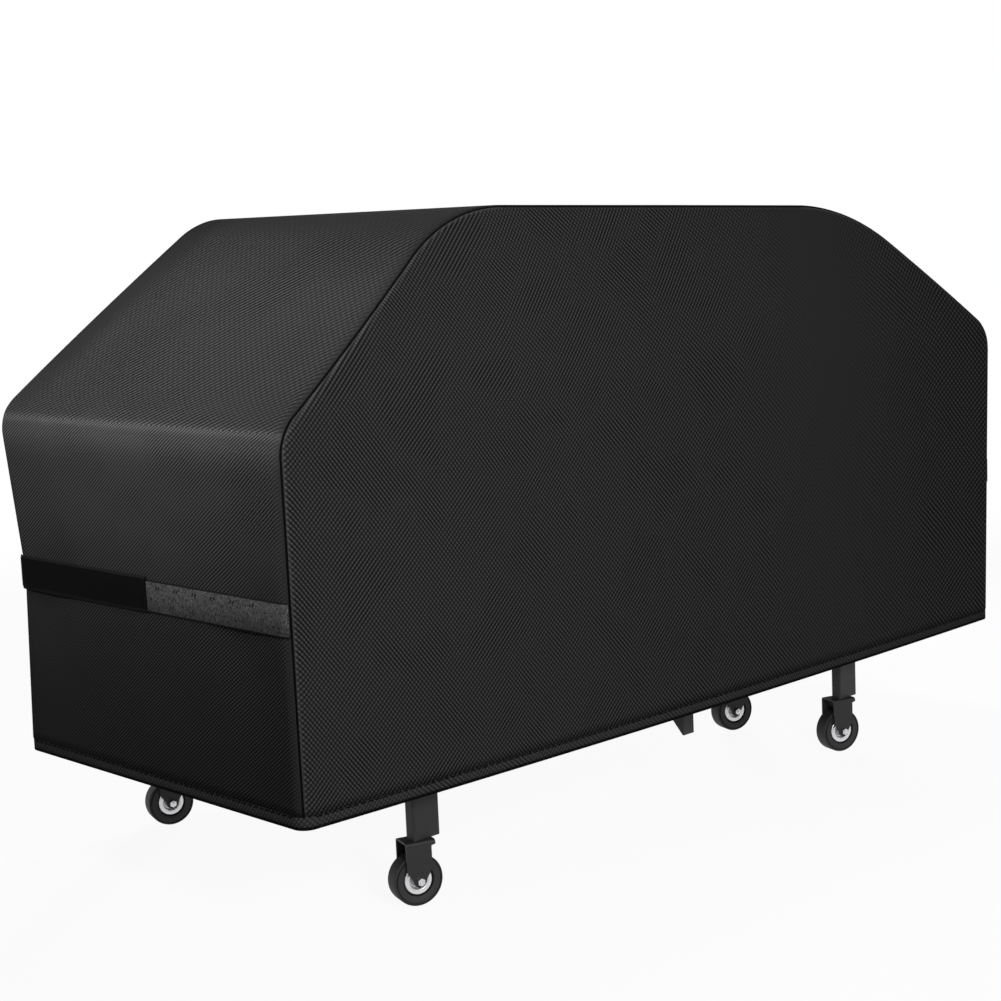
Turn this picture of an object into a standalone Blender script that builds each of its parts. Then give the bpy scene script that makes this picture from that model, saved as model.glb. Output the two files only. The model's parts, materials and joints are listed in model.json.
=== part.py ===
"""Fitted cloth cover over a flat-top grill on its wheeled cart, for Blender 4.5.

Metres, +Z up. The floor is z = 0, X runs along the width and the front faces -Y.
The cover hangs over the hood and the side shelves, and only the leg ends, the casters and one
small bracket show below its hem. Each piece is one object, and the pieces that turn hang from
an empty on their axis.
"""

import math

import bmesh
import bpy
from mathutils import Matrix, Vector

# Gap between pieces that touch on the real object
CLEARANCE = 0.0003

# Cover: hexagonal front and back panels and the strip between them, settled a little to the right
HEM_Z = 0.170
HEM_WIDTH = 1.613
HEM_DEPTH = 0.666
HEM_BOW = 0.0135
WIDTH_FLARE = 0.014
FRONT_FLARE = 0.0055
BACK_FLARE = 0.0135
SHOULDER_RISE = 0.513
LEFT_SHOULDER_RUN = 0.350
RIGHT_SHOULDER_RUN = 0.372
SHOULDER_RADIUS = 0.070
RIGHT_SHOULDER_LIFT = 0.022
TOP_RISE = 0.785
FRONT_LEAN = 0.0535
BACK_LEAN = 0.056
FRONT_LEFT_TOP_RADIUS = 0.300
FRONT_RIGHT_TOP_RADIUS = 0.450
BACK_TOP_RADIUS = 0.180
TOP_FALL = 0.021
LEAN_POWER = 1.5
SIDE_EDGE_RADIUS = 0.020
TOP_EDGE_RADIUS = 0.008
CLOTH = 0.0025
PIPING = 0.003
PIPING_SUNK = 0.0005
HEM_BAND = 0.018
HEM_FOLD = 0.004

# Closing straps, one pair on each side of the cover, drawn tight enough to pull in the back seam
STRAP_RISE = 0.275
STRAP_WIDTH = 0.046
STRAP_THICKNESS = 0.002
STRAP_MEET_Y = -0.024
STRAP_OVERLAP = 0.110
STRAP_SEAM_MARGIN = 0.002
STRAP_PINCH = 0.027
PINCH_REACH = 0.250

# Cart: rectangular tube legs under a top frame, with a shallow shelf between them
TUBE_WIDTH = 0.048
TUBE_DEPTH = 0.018
TUBE_WALL = 0.0015
TUBE_CORNER = 0.003
LEFT_LEG_OUTSET = 0.102
RIGHT_LEG_INSET = 0.040
FRONT_LEG_SETBACK = 0.050
REAR_LEG_SETBACK = 0.024
RIGHT_LEG_SPREAD = 0.235
FRAME_Z = 0.500
FRAME_HEIGHT = 0.025
SHELF_Z = 0.182
SHELF_HEIGHT = 0.025
SHEET = 0.0015
BRACKET_X = 0.005
BRACKET_WIDTH = 0.024
BRACKET_DEPTH = 0.034
BRACKET_DROP = 0.070
BRACKET_SHEET = 0.003
BRACKET_HOLE = 0.005

# Grill: body, plate, hood and side shelves that the cover rests on
BODY_WIDTH = 0.920
BODY_DEPTH = 0.500
BODY_HEIGHT = 0.155
BODY_WALL = 0.002
PLATE_THICKNESS = 0.005
PLATE_RIM = 0.022
HOOD_WIDTH = 0.880
HOOD_DEPTH = 0.440
HOOD_TOP_WIDTH = 0.660
HOOD_TOP_DEPTH = 0.360
HOOD_WALL = 0.002
HOOD_ROUND = 0.020
HOOD_SKIRT = 0.050
HANDLE_DIAMETER = 0.016
HANDLE_LENGTH = 0.460
HANDLE_REACH = 0.036
HANDLE_RISE = 0.060
SIDE_SHELF_EASE = 0.032
SIDE_SHELF_DEPTH = 0.480
SIDE_SHELF_HEIGHT = 0.024
SIDE_SHELF_DROP = 0.012
BRACE_RUN = 0.200
BRACE_FALL = 0.105
BRACE_WIDTH = 0.020

# Casters: bent-sheet fork off-centre under the leg, rubber tyre on a pressed hub
CASTER_HEIGHT = 0.093
CASTER_SWIVEL = math.radians(-18)
CASTER_TRAIL = 0.015
WHEEL_RADIUS = 0.0365
TYRE_WIDTH = 0.026
TYRE_SHOULDER = 0.003
TYRE_GROOVE = 0.001
TYRE_GROOVE_RISE = 0.0098
HUB_RADIUS = 0.0205
HUB_RIM = 0.0055
HUB_RIM_WIDTH = 0.024
HUB_WEB_WIDTH = 0.008
HUB_BOSS_RADIUS = 0.008
HUB_BOSS_WIDTH = 0.030
HUB_CHAMFER = 0.001
FORK_INNER_WIDTH = 0.0315
FORK_SHEET = 0.0025
FORK_BEND = 0.004
FORK_PLATE_WIDTH = 0.038
FORK_STRAIGHT = 0.040
FORK_TIP_RADIUS = 0.009
FORK_FRONT = 0.010
STEM_DIAMETER = 0.010
STEM_LENGTH = 0.026
SOCKET_LENGTH = 0.030
AXLE_DIAMETER = 0.006
BOLT_ACROSS_FLATS = 0.010
BOLT_HEAD = 0.004
NUT_HEIGHT = 0.005
BOLT_TAIL = 0.001

# Facets
WHEEL_SIDES = 32
ROUND_SIDES = 16
ARC_STEPS = 6
EDGE_STEPS = 3
SLOPE_STEPS = 4
CLOTH_COLUMNS = 6
FOLD_STEPS = 3
TUBE_CORNER_STEPS = 2

# Finishes: colour in sRGB, roughness, metallic
CLOTH_FINISH = ((0.13, 0.13, 0.13), 0.85, 0.0)
HOOK_FINISH = ((0.05, 0.05, 0.05), 0.5, 0.0)
LOOP_FINISH = ((0.25, 0.25, 0.25), 0.95, 0.0)
PAINT_FINISH = ((0.19, 0.19, 0.19), 0.45, 0.3)
PLASTIC_FINISH = ((0.10, 0.10, 0.10), 0.6, 0.0)
IRON_FINISH = ((0.10, 0.10, 0.10), 0.55, 0.6)
RUBBER_FINISH = ((0.17, 0.17, 0.17), 0.8, 0.0)
STEEL_FINISH = ((0.78, 0.78, 0.79), 0.35, 0.9)
ZINC_FINISH = ((0.78, 0.78, 0.79), 0.3, 1.0)

# Places that follow from the sizes above
SHOULDER_WIDTH = HEM_WIDTH + WIDTH_FLARE
SHOULDER_Z = HEM_Z + SHOULDER_RISE
TOP_Z = HEM_Z + TOP_RISE
LEFT_BROW_X = SHOULDER_WIDTH / 2 - LEFT_SHOULDER_RUN
RIGHT_BROW_X = SHOULDER_WIDTH / 2 - RIGHT_SHOULDER_RUN
CLOTH_FOOT_Z = HEM_Z + HEM_BAND + CLEARANCE
STRAP_Z = HEM_Z + STRAP_RISE
STRAP_FOOT_Z = STRAP_Z - STRAP_WIDTH / 2
STRAP_TOP_Z = STRAP_Z + STRAP_WIDTH / 2
LEFT_LEG_X = -BODY_WIDTH / 2 - LEFT_LEG_OUTSET
RIGHT_LEG_X = BODY_WIDTH / 2 - RIGHT_LEG_INSET
FRONT_LEG_Y = -HEM_DEPTH / 2 + FRONT_LEG_SETBACK
REAR_LEFT_LEG_Y = HEM_DEPTH / 2 - REAR_LEG_SETBACK
REAR_RIGHT_LEG_Y = FRONT_LEG_Y + RIGHT_LEG_SPREAD
LEGS = (
    ("front_left", LEFT_LEG_X, FRONT_LEG_Y),
    ("front_right", RIGHT_LEG_X, FRONT_LEG_Y),
    ("rear_left", LEFT_LEG_X, REAR_LEFT_LEG_Y),
    ("rear_right", RIGHT_LEG_X, REAR_RIGHT_LEG_Y),
)
INNER_FRONT_Y = FRONT_LEG_Y + TUBE_DEPTH / 2 + CLEARANCE
BODY_Z = FRAME_Z + FRAME_HEIGHT + CLEARANCE
PLATE_Z = BODY_Z + BODY_HEIGHT + CLEARANCE
HOOD_Z = PLATE_Z + PLATE_THICKNESS + CLEARANCE
HOOD_SKIRT_Z = HOOD_Z + HOOD_SKIRT
HOOD_FALL = TOP_FALL / 2 * (1 + (HOOD_TOP_WIDTH / 2 - HOOD_ROUND) / RIGHT_BROW_X)
HOOD_TOP_Z = TOP_Z - HOOD_FALL - CLOTH - CLEARANCE
SIDE_SHELF_WIDTH = (HEM_WIDTH - BODY_WIDTH) / 2 - SIDE_SHELF_EASE
FORK_TOP_Z = CASTER_HEIGHT - CLEARANCE
FORK_WIDTH = FORK_INNER_WIDTH + 2 * FORK_SHEET
FULL_TURN = 2 * math.pi
SEAM_ANGLE = math.pi / 4


def linear(colour):
    """sRGB to the linear values that a material takes."""
    return [c / 12.92 if c <= 0.04045 else ((c + 0.055) / 1.055) ** 2.4 for c in colour]


def add_object(name, data, finish, parent=None):
    """A named object with its own material, under an empty if one is given."""
    colour, roughness, metallic = finish
    obj = bpy.data.objects.new(name, data)
    bpy.context.scene.collection.objects.link(obj)
    obj.parent = parent
    material = bpy.data.materials.new(name + "_finish")
    material.use_nodes = True
    shader = material.node_tree.nodes["Principled BSDF"]
    shader.inputs["Base Color"].default_value = (*linear(colour), 1.0)
    shader.inputs["Roughness"].default_value = roughness
    shader.inputs["Metallic"].default_value = metallic
    obj.data.materials.append(material)
    return obj


def add_empty(name, place, turn=0.0, parent=None):
    """An empty that marks a turning axis."""
    empty = bpy.data.objects.new(name, None)
    bpy.context.scene.collection.objects.link(empty)
    empty.parent = parent
    empty.location = place
    empty.rotation_euler = (0, 0, turn)
    return empty


def mesh_from(bm, name):
    """Turn a bmesh into a mesh as it is."""
    mesh = bpy.data.meshes.new(name)
    bm.to_mesh(mesh)
    bm.free()
    return mesh


def solid_from(bm, name):
    """Turn a closed bmesh into a mesh whose faces point out."""
    bmesh.ops.recalc_face_normals(bm, faces=bm.faces)
    return mesh_from(bm, name)


def evaluated(mesh, name, add_modifiers):
    """The mesh that a helper object gives once its modifiers have run."""
    helper = bpy.data.objects.new(name + "_helper", mesh)
    bpy.context.scene.collection.objects.link(helper)
    cutters = add_modifiers(helper) or []
    bpy.context.view_layer.update()
    graph = bpy.context.evaluated_depsgraph_get()
    result = bpy.data.meshes.new_from_object(helper.evaluated_get(graph))
    result.name = name
    for used in [helper, *cutters]:
        bpy.data.objects.remove(used)
    return result


def add_boolean(helper, cutter_mesh, operation):
    """Join, cut or trim a helper with another mesh, and return that cutter."""
    cutter = bpy.data.objects.new(helper.name + "_" + operation.lower(), cutter_mesh)
    bpy.context.scene.collection.objects.link(cutter)
    cutter.hide_render = True
    cutter.display_type = "WIRE"
    modifier = helper.modifiers.new(operation.title(), "BOOLEAN")
    modifier.operation = operation
    modifier.solver = "EXACT"
    modifier.object = cutter
    return cutter


def sheet_from(bm, name, thickness):
    """Give an open sheet its thickness on its inner side."""

    def thicken(helper):
        modifier = helper.modifiers.new("Solidify", "SOLIDIFY")
        modifier.thickness = thickness
        modifier.offset = -1.0
        modifier.use_even_offset = True

    return evaluated(mesh_from(bm, name + "_sheet"), name, thicken)


def face_outward(bm, closed_above):
    """Turn the faces of an open box away from its hollow side."""
    bmesh.ops.recalc_face_normals(bm, faces=bm.faces)
    upward = sum(face.calc_area() * face.normal.z for face in bm.faces)
    if (upward > 0) != closed_above:
        bmesh.ops.reverse_faces(bm, faces=bm.faces)


def weld(bm):
    """Join points that fall together."""
    bmesh.ops.remove_doubles(bm, verts=bm.verts, dist=1e-6)


def prism(name, outline, depth, to_point):
    """A flat outline extruded by a depth. to_point places (a, b, depth) in space."""
    bm = bmesh.new()
    near = [bm.verts.new(to_point(a, b, 0.0)) for a, b in outline]
    bm.faces.new(near)
    made = bmesh.ops.extrude_face_region(bm, geom=bm.faces[:])
    far = [v for v in made["geom"] if isinstance(v, bmesh.types.BMVert)]
    shift = Vector(to_point(0.0, 0.0, depth)) - Vector(to_point(0.0, 0.0, 0.0))
    bmesh.ops.translate(bm, vec=shift, verts=far)
    return solid_from(bm, name)


def arc(centre, radius, start, end, steps):
    """Points on an arc, with angles in radians from the first axis."""
    angles = [start + (end - start) * i / steps for i in range(steps + 1)]
    return [(centre[0] + radius * math.cos(t), centre[1] + radius * math.sin(t)) for t in angles]


def circle(centre, diameter, sides=ROUND_SIDES):
    """The outline of a round bar or hole."""
    return arc(centre, diameter / 2, 0, FULL_TURN, sides)[:-1]


def rounded_rectangle(width, depth, radius, steps):
    """The outline of a rectangle about its own centre, counter-clockwise."""
    points = []
    for quarter, (sx, sy) in enumerate(((1, 1), (-1, 1), (-1, -1), (1, -1))):
        centre = (sx * (width / 2 - radius), sy * (depth / 2 - radius))
        start = quarter * FULL_TURN / 4
        points += arc(centre, radius, start, start + FULL_TURN / 4, steps)
    return points


def loft(bm, rows):
    """Faces between rows of points, each row as long as the next."""
    made = [[bm.verts.new(point) for point in row] for row in rows]
    for low, high in zip(made, made[1:]):
        for i in range(len(low) - 1):
            bm.faces.new((low[i], low[i + 1], high[i + 1], high[i]))


def turned(name, profile, sides):
    """A closed profile of (along, radius) points turned about the Y axis.

    A flat facet of the turned shape faces straight down.
    """
    bm = bmesh.new()
    half_step = math.pi / sides
    across, down = math.sin(half_step), math.cos(half_step)
    verts = [bm.verts.new((r * across, y, -r * down)) for y, r in profile]
    edges = [bm.edges.new((a, b)) for a, b in zip(verts, verts[1:] + verts[:1])]
    bmesh.ops.spin(
        bm,
        geom=verts + edges,
        cent=(0, 0, 0),
        axis=(0, 1, 0),
        angle=FULL_TURN,
        steps=sides,
        use_merge=True,
    )
    weld(bm)
    return solid_from(bm, name)


def mirrored(half_profile):
    """A profile and its mirror image across the middle plane."""
    return half_profile + [(-y, r) for y, r in reversed(half_profile)]


def shaft(name, diameter, start, end):
    """A round bar along Y."""
    return prism(name, circle((0, 0), diameter), end - start, lambda a, b, d: (a, start + d, b))


def bar_along(name, route, diameter, resolution):
    """A round bar bent along a route of points."""
    curve = bpy.data.curves.new(name, "CURVE")
    curve.dimensions = "3D"
    curve.bevel_depth = diameter / 2
    curve.bevel_resolution = resolution
    curve.use_fill_caps = True
    spline = curve.splines.new("POLY")
    spline.points.add(len(route) - 1)
    for point, place in zip(spline.points, route):
        point.co = (*place, 1.0)
    return curve


# The cover's form


def half_width(z):
    """Half the cover's width on its upright sides."""
    share = (z - HEM_Z) / SHOULDER_RISE
    return (HEM_WIDTH + (SHOULDER_WIDTH - HEM_WIDTH) * share) / 2


def stand(z, side):
    """How far front (side -1) or back (side 1) stands out: near upright, then leaning in."""
    flare = FRONT_FLARE if side < 0 else BACK_FLARE
    if z <= SHOULDER_Z:
        return HEM_DEPTH / 2 + flare * (z - HEM_Z) / SHOULDER_RISE
    lean = FRONT_LEAN if side < 0 else BACK_LEAN
    share = (z - SHOULDER_Z) / (TOP_Z - SHOULDER_Z)
    return HEM_DEPTH / 2 + flare - lean * share**LEAN_POWER


def bow(x, z):
    """How far the front swells out between its corners, most at the hem."""
    fall = min(max((SHOULDER_Z - z) / SHOULDER_RISE, 0.0), 1.0)
    return HEM_BOW * fall * (1.0 - (x / half_width(z)) ** 2)


def pinch(x, z):
    """How far the closed straps draw the back of the cover forward."""
    if z < STRAP_FOOT_Z:
        rise = (z - CLOTH_FOOT_Z) / (STRAP_FOOT_Z - CLOTH_FOOT_Z)
    else:
        rise = (SHOULDER_Z - z) / (SHOULDER_Z - STRAP_TOP_Z)
    reach = 1.0 - (half_width(z) - abs(x)) / PINCH_REACH
    return STRAP_PINCH * min(max(rise, 0.0), 1.0) * min(max(reach, 0.0), 1.0)


def panel_depth(x, z, side):
    """How far the front panel (side -1) or back panel (side 1) is from the middle at a place."""
    return stand(z, side) + (bow(x, z) if side < 0 else -pinch(x, z))


def edge_radius(z):
    """Radius of the soft edge between strip and panel: wide on the sides, tight on top."""
    share = min(max((z - SHOULDER_Z) / (TOP_Z - SHOULDER_Z), 0.0), 1.0)
    return SIDE_EDGE_RADIUS + (TOP_EDGE_RADIUS - SIDE_EDGE_RADIUS) * share


def seam_gap(z):
    """The angle on a soft edge that the seam's cord takes up on each side of it."""
    return math.asin((PIPING / 2 + CLEARANCE) / (edge_radius(z) - CLOTH))


def fillet(before, corner, after, radius, steps):
    """Arc points that round the corner of an outline."""
    into = (Vector(before) - Vector(corner)).normalized()
    out = (Vector(after) - Vector(corner)).normalized()
    half = into.angle(out) / 2
    centre = Vector(corner) + (into + out).normalized() * (radius / math.sin(half))
    start = Vector(corner) + into * (radius / math.tan(half)) - centre
    end = Vector(corner) + out * (radius / math.tan(half)) - centre
    first = math.atan2(start.y, start.x)
    sweep = -start.angle_signed(end)
    return arc(centre, radius, first, first + sweep, steps)


def between(start, end, steps):
    """Points that divide a straight run, without its ends."""
    return [tuple(Vector(start).lerp(Vector(end), i / steps)) for i in range(1, steps)]


def half_outline(end, shoulder_z, brow, top_radius, crown):
    """One half of a panel's hexagon as (x, z), from its foot at one end to its top."""
    rises = [(end * half_width(z), z) for z in (CLOTH_FOOT_Z, STRAP_FOOT_Z, STRAP_TOP_Z)]
    shoulder = (end * half_width(shoulder_z), shoulder_z)
    low = fillet(rises[-1], shoulder, brow, SHOULDER_RADIUS, ARC_STEPS)
    high = fillet(shoulder, brow, crown, top_radius, ARC_STEPS)
    return rises + low + between(low[-1], high[0], SLOPE_STEPS) + high


def cover_outline(side):
    """The front or back hexagon from the left foot over the top to the right.

    Each point comes with its inward side. The back is cut with tighter corners than the front.
    """
    crown = (0.0, TOP_Z - TOP_FALL / 2)
    left_brow = (-LEFT_BROW_X, TOP_Z)
    right_brow = (RIGHT_BROW_X, TOP_Z - TOP_FALL)
    left_radius = FRONT_LEFT_TOP_RADIUS if side < 0 else BACK_TOP_RADIUS
    right_radius = FRONT_RIGHT_TOP_RADIUS if side < 0 else BACK_TOP_RADIUS
    left = half_outline(-1, SHOULDER_Z, left_brow, left_radius, crown)
    right = half_outline(1, SHOULDER_Z + RIGHT_SHOULDER_LIFT, right_brow, right_radius, crown)
    points = [Vector(point) for point in (*left, crown, *reversed(right))]
    outline = []
    for before, point, after in zip(points[:1] + points, points, points[1:] + points[-1:]):
        along = (after - before).normalized()
        outline.append((point, Vector((along.y, -along.x))))
    return outline


def edge_point(place, inward, side, angle, sunk=0.0):
    """A point on a soft edge, from the strip (angle 0) round to the panel (a quarter turn)."""
    radius = edge_radius(place.y)
    reach = radius - sunk
    x, z = place + inward * (radius - reach * math.cos(angle))
    return x, side * (panel_depth(x, z, side) - radius + reach * math.sin(angle)), z


def edge_curl(place, inward, side, on_strip):
    """The strip's or the panel's share of a soft edge, from the flat cloth to the seam."""
    start = 0.0 if on_strip else 2 * SEAM_ANGLE
    end = SEAM_ANGLE + (-seam_gap(place.y) if on_strip else seam_gap(place.y))
    steps = [start + (end - start) * i / EDGE_STEPS for i in range(EDGE_STEPS + 1)]
    return [edge_point(place, inward, side, angle) for angle in steps]


def across_panel(start, end, side):
    """Points on a panel between two of its places."""
    points = []
    for x, _, z in between(start, end, CLOTH_COLUMNS):
        points.append((x, side * panel_depth(x, z, side), z))
    return points


def cover_panel(name, side):
    """The front panel (side -1) or the back panel (side 1), leaning in above the shoulder."""
    outline = cover_outline(side)
    rows = []
    for i in range(len(outline) // 2):
        left = edge_curl(*outline[i], side, on_strip=False)
        right = edge_curl(*outline[-1 - i], side, on_strip=False)
        rows.append(left[::-1] + across_panel(left[0], right[0], side) + right)
    top = [[start, *between(start, end, CLOTH_COLUMNS), end] for start, end in zip(left, right)]
    bm = bmesh.new()
    loft(bm, rows)
    loft(bm, top)
    weld(bm)
    if side > 0:
        bmesh.ops.reverse_faces(bm, faces=bm.faces)
    add_object(name, sheet_from(bm, name, CLOTH), CLOTH_FINISH)


def gusset_strip():
    """One strip of cloth up the left side, over the shoulders and top, and down the right."""
    rows = []
    for front_place, back_place in zip(cover_outline(-1), cover_outline(1)):
        front = edge_curl(*front_place, -1, on_strip=True)
        back = edge_curl(*back_place, 1, on_strip=True)
        rows.append(back[::-1] + between(back[0], front[0], CLOTH_COLUMNS) + front)
    bm = bmesh.new()
    loft(bm, rows)
    add_object("gusset_strip", sheet_from(bm, "gusset_strip", CLOTH), CLOTH_FINISH)


def piping(name, side):
    """The cord in the seam between a panel and the strip."""
    route = [edge_point(*place, side, SEAM_ANGLE, PIPING_SUNK) for place in cover_outline(side)]
    add_object(name, bar_along(name, route, PIPING, 1), CLOTH_FINISH)


def hem():
    """The folded hem round the cover's mouth, one band with rounded corners."""
    bm = bmesh.new()
    outline = rounded_rectangle(HEM_WIDTH, HEM_DEPTH, SIDE_EDGE_RADIUS, ARC_STEPS)
    front = len(outline) * 3 // 4
    outline[front:front] = between(outline[front - 1], outline[front], 2 * CLOTH_COLUMNS)
    outline = [(x, y if y > 0 else y - bow(x, HEM_Z)) for x, y in outline]
    low = [(x, y, HEM_Z) for x, y in outline]
    high = [(x, y, HEM_Z + HEM_BAND) for x, y in outline]
    loft(bm, [low + low[:1], high + high[:1]])
    weld(bm)
    bmesh.ops.recalc_face_normals(bm, faces=bm.faces)
    add_object("hem", sheet_from(bm, "hem", HEM_FOLD), CLOTH_FINISH)


def strap_outline(start, seam, offset):
    """A strap seen from above as (out, toward the seam), bent round the soft edge at its sewn end."""
    radius = edge_radius(STRAP_TOP_Z)
    out = half_width(STRAP_TOP_Z)
    centre = (out - radius, panel_depth(out, STRAP_TOP_Z, seam) - radius)
    turn = SEAM_ANGLE - seam_gap(STRAP_TOP_Z) - STRAP_SEAM_MARGIN / radius
    inner = [(out + offset, start), *arc(centre, radius + offset, 0.0, turn, EDGE_STEPS)]
    offset += STRAP_THICKNESS
    outer = [(out + offset, start), *arc(centre, radius + offset, 0.0, turn, EDGE_STEPS)]
    return inner + outer[::-1], inner[-1]


def straps(side_name, side):
    """The hook strap sewn at the back seam, pressed on the loop strap sewn at the front seam."""
    loop_name = side_name + "_loop_strap"
    loop_start = -(STRAP_MEET_Y + STRAP_OVERLAP)
    outline, _ = strap_outline(loop_start, -1, CLEARANCE)
    loop = prism(loop_name, outline, STRAP_WIDTH, lambda a, b, d: (side * a, -b, STRAP_FOOT_Z + d))
    add_object(loop_name, loop, LOOP_FINISH)
    hook_name = side_name + "_hook_strap"
    outline, (out, seam_y) = strap_outline(STRAP_MEET_Y, 1, STRAP_THICKNESS + 2 * CLEARANCE)
    axis = add_empty(side_name + "_strap_axis", (side * out, seam_y, STRAP_Z))
    hook = prism(
        hook_name,
        outline,
        STRAP_WIDTH,
        lambda a, b, d: (side * (a - out), b - seam_y, d - STRAP_WIDTH / 2),
    )
    add_object(hook_name, hook, HOOK_FINISH, axis)


# Tubes and sheet parts of the cart


def tube(name, width, depth, length, to_point):
    """A rectangular tube with rounded corners, open at both ends."""
    outer = rounded_rectangle(width, depth, TUBE_CORNER, TUBE_CORNER_STEPS)
    ends = [[to_point(a, b, end) for a, b in outer] for end in (0.0, length)]
    bm = bmesh.new()
    loft(bm, [row + row[:1] for row in ends])
    weld(bm)
    bmesh.ops.recalc_face_normals(bm, faces=bm.faces)
    add_object(name, sheet_from(bm, name, TUBE_WALL), PAINT_FINISH)


def leg(name, x, y):
    length = FRAME_Z - CLEARANCE - CASTER_HEIGHT
    tube(name, TUBE_WIDTH, TUBE_DEPTH, length, lambda a, b, d: (x + a, y + b, CASTER_HEIGHT + d))


def socket_plug(name, x, y):
    """The insert in a leg's lower end that the caster's stem turns in."""
    fit = 2 * (TUBE_WALL + CLEARANCE)
    corner = TUBE_CORNER - TUBE_WALL
    outer = rounded_rectangle(TUBE_WIDTH - fit, TUBE_DEPTH - fit, corner, TUBE_CORNER_STEPS)
    body = prism(name, outer, SOCKET_LENGTH, lambda a, b, d: (x + a, y + b, CASTER_HEIGHT + d))
    cutter = prism(
        name + "_bore",
        circle((x, y), STEM_DIAMETER + 2 * CLEARANCE),
        2 * SOCKET_LENGTH,
        lambda a, b, d: (a, b, CASTER_HEIGHT - SOCKET_LENGTH / 2 + d),
    )
    mesh = evaluated(body, name, lambda helper: [add_boolean(helper, cutter, "DIFFERENCE")])
    add_object(name, mesh, PLASTIC_FINISH)


def top_frame():
    """Four tubes on the legs that carry the grill."""
    middle = FRAME_Z + FRAME_HEIGHT / 2
    left_end = LEFT_LEG_X - TUBE_WIDTH / 2
    length = RIGHT_LEG_X + TUBE_WIDTH / 2 - left_end
    for name, y in (("front_rail", FRONT_LEG_Y), ("rear_rail", REAR_LEFT_LEG_Y)):
        tube(
            name, TUBE_DEPTH, FRAME_HEIGHT, length, lambda a, b, d: (left_end + d, y + a, middle + b)
        )
    length = REAR_LEFT_LEG_Y - TUBE_DEPTH / 2 - CLEARANCE - INNER_FRONT_Y
    for name, x in (("left_rail", LEFT_LEG_X), ("right_rail", RIGHT_LEG_X)):
        tube(
            name,
            TUBE_WIDTH,
            FRAME_HEIGHT,
            length,
            lambda a, b, d: (x + a, INNER_FRONT_Y + d, middle + b),
        )


def lower_rail(name, x, rear):
    """A side tube low between two legs that the shelf hangs on."""
    middle = SHELF_Z + SHELF_HEIGHT / 2
    length = rear - TUBE_DEPTH / 2 - CLEARANCE - INNER_FRONT_Y
    tube(
        name,
        TUBE_DEPTH,
        SHELF_HEIGHT,
        length,
        lambda a, b, d: (x + a, INNER_FRONT_Y + d, middle + b),
    )


def box_ring(z, x0, x1, y0, y1):
    """A closed rectangle of points at one height."""
    return [(x0, y0, z), (x1, y0, z), (x1, y1, z), (x0, y1, z), (x0, y0, z)]


def round_folds(bm, folds, radius):
    """Round the folds of a pressed sheet."""
    bmesh.ops.bevel(
        bm,
        geom=folds,
        offset=radius,
        segments=FOLD_STEPS,
        profile=0.5,
        affect="EDGES",
        material=-1,
    )


def tray(name, rings, wall, finish, open_top=False, rounding=0.0):
    """A pressed sheet box lofted through rectangles, open at its bottom or its top."""
    bm = bmesh.new()
    loft(bm, rings)
    weld(bm)
    closed_z = rings[0][0][2] if open_top else rings[-1][0][2]
    bmesh.ops.contextual_create(bm, geom=[v for v in bm.verts if abs(v.co.z - closed_z) < 1e-6])
    face_outward(bm, not open_top)
    if rounding:
        round_folds(bm, [e for e in bm.edges if len(e.link_faces) == 2], rounding)
    add_object(name, sheet_from(bm, name, wall), finish)


def lower_shelf():
    side = TUBE_DEPTH / 2 + CLEARANCE
    rear = REAR_RIGHT_LEG_Y - TUBE_DEPTH / 2 - CLEARANCE
    ends = (LEFT_LEG_X + side, RIGHT_LEG_X - side, INNER_FRONT_Y, rear)
    rings = [box_ring(z, *ends) for z in (SHELF_Z, SHELF_Z + SHELF_HEIGHT)]
    tray("lower_shelf", rings, SHEET, PAINT_FINISH)


def hanging_bracket():
    """The folded bracket below the shelf: a front tongue and a sloped ear with a hole."""
    top = SHELF_Z - CLEARANCE
    front = INNER_FRONT_Y
    foot = top - BRACKET_DROP
    tongue = [
        (BRACKET_X, foot),
        (BRACKET_X + BRACKET_WIDTH, foot),
        (BRACKET_X + BRACKET_WIDTH, top),
        (BRACKET_X, top),
    ]
    body = prism("bracket_tongue", tongue, BRACKET_SHEET, lambda a, b, d: (a, front + d, b))
    ear = [
        (front, foot),
        (front + BRACKET_SHEET, foot),
        (front + BRACKET_DEPTH, foot + BRACKET_DEPTH),
        (front + BRACKET_DEPTH, top),
        (front, top),
    ]
    ear_mesh = prism("bracket_ear", ear, BRACKET_SHEET, lambda a, b, d: (BRACKET_X + d, a, b))
    hole_mesh = prism(
        "bracket_hole",
        circle((front + BRACKET_DEPTH / 2, foot + BRACKET_DEPTH), BRACKET_HOLE),
        3 * BRACKET_SHEET,
        lambda a, b, d: (BRACKET_X - BRACKET_SHEET + d, a, b),
    )

    def fold(helper):
        joined = add_boolean(helper, ear_mesh, "UNION")
        return [joined, add_boolean(helper, hole_mesh, "DIFFERENCE")]

    add_object("hanging_bracket", evaluated(body, "hanging_bracket", fold), PAINT_FINISH)


# The grill under the cover


def centred_ring(z, width, depth):
    return box_ring(z, -width / 2, width / 2, -depth / 2, depth / 2)


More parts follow.
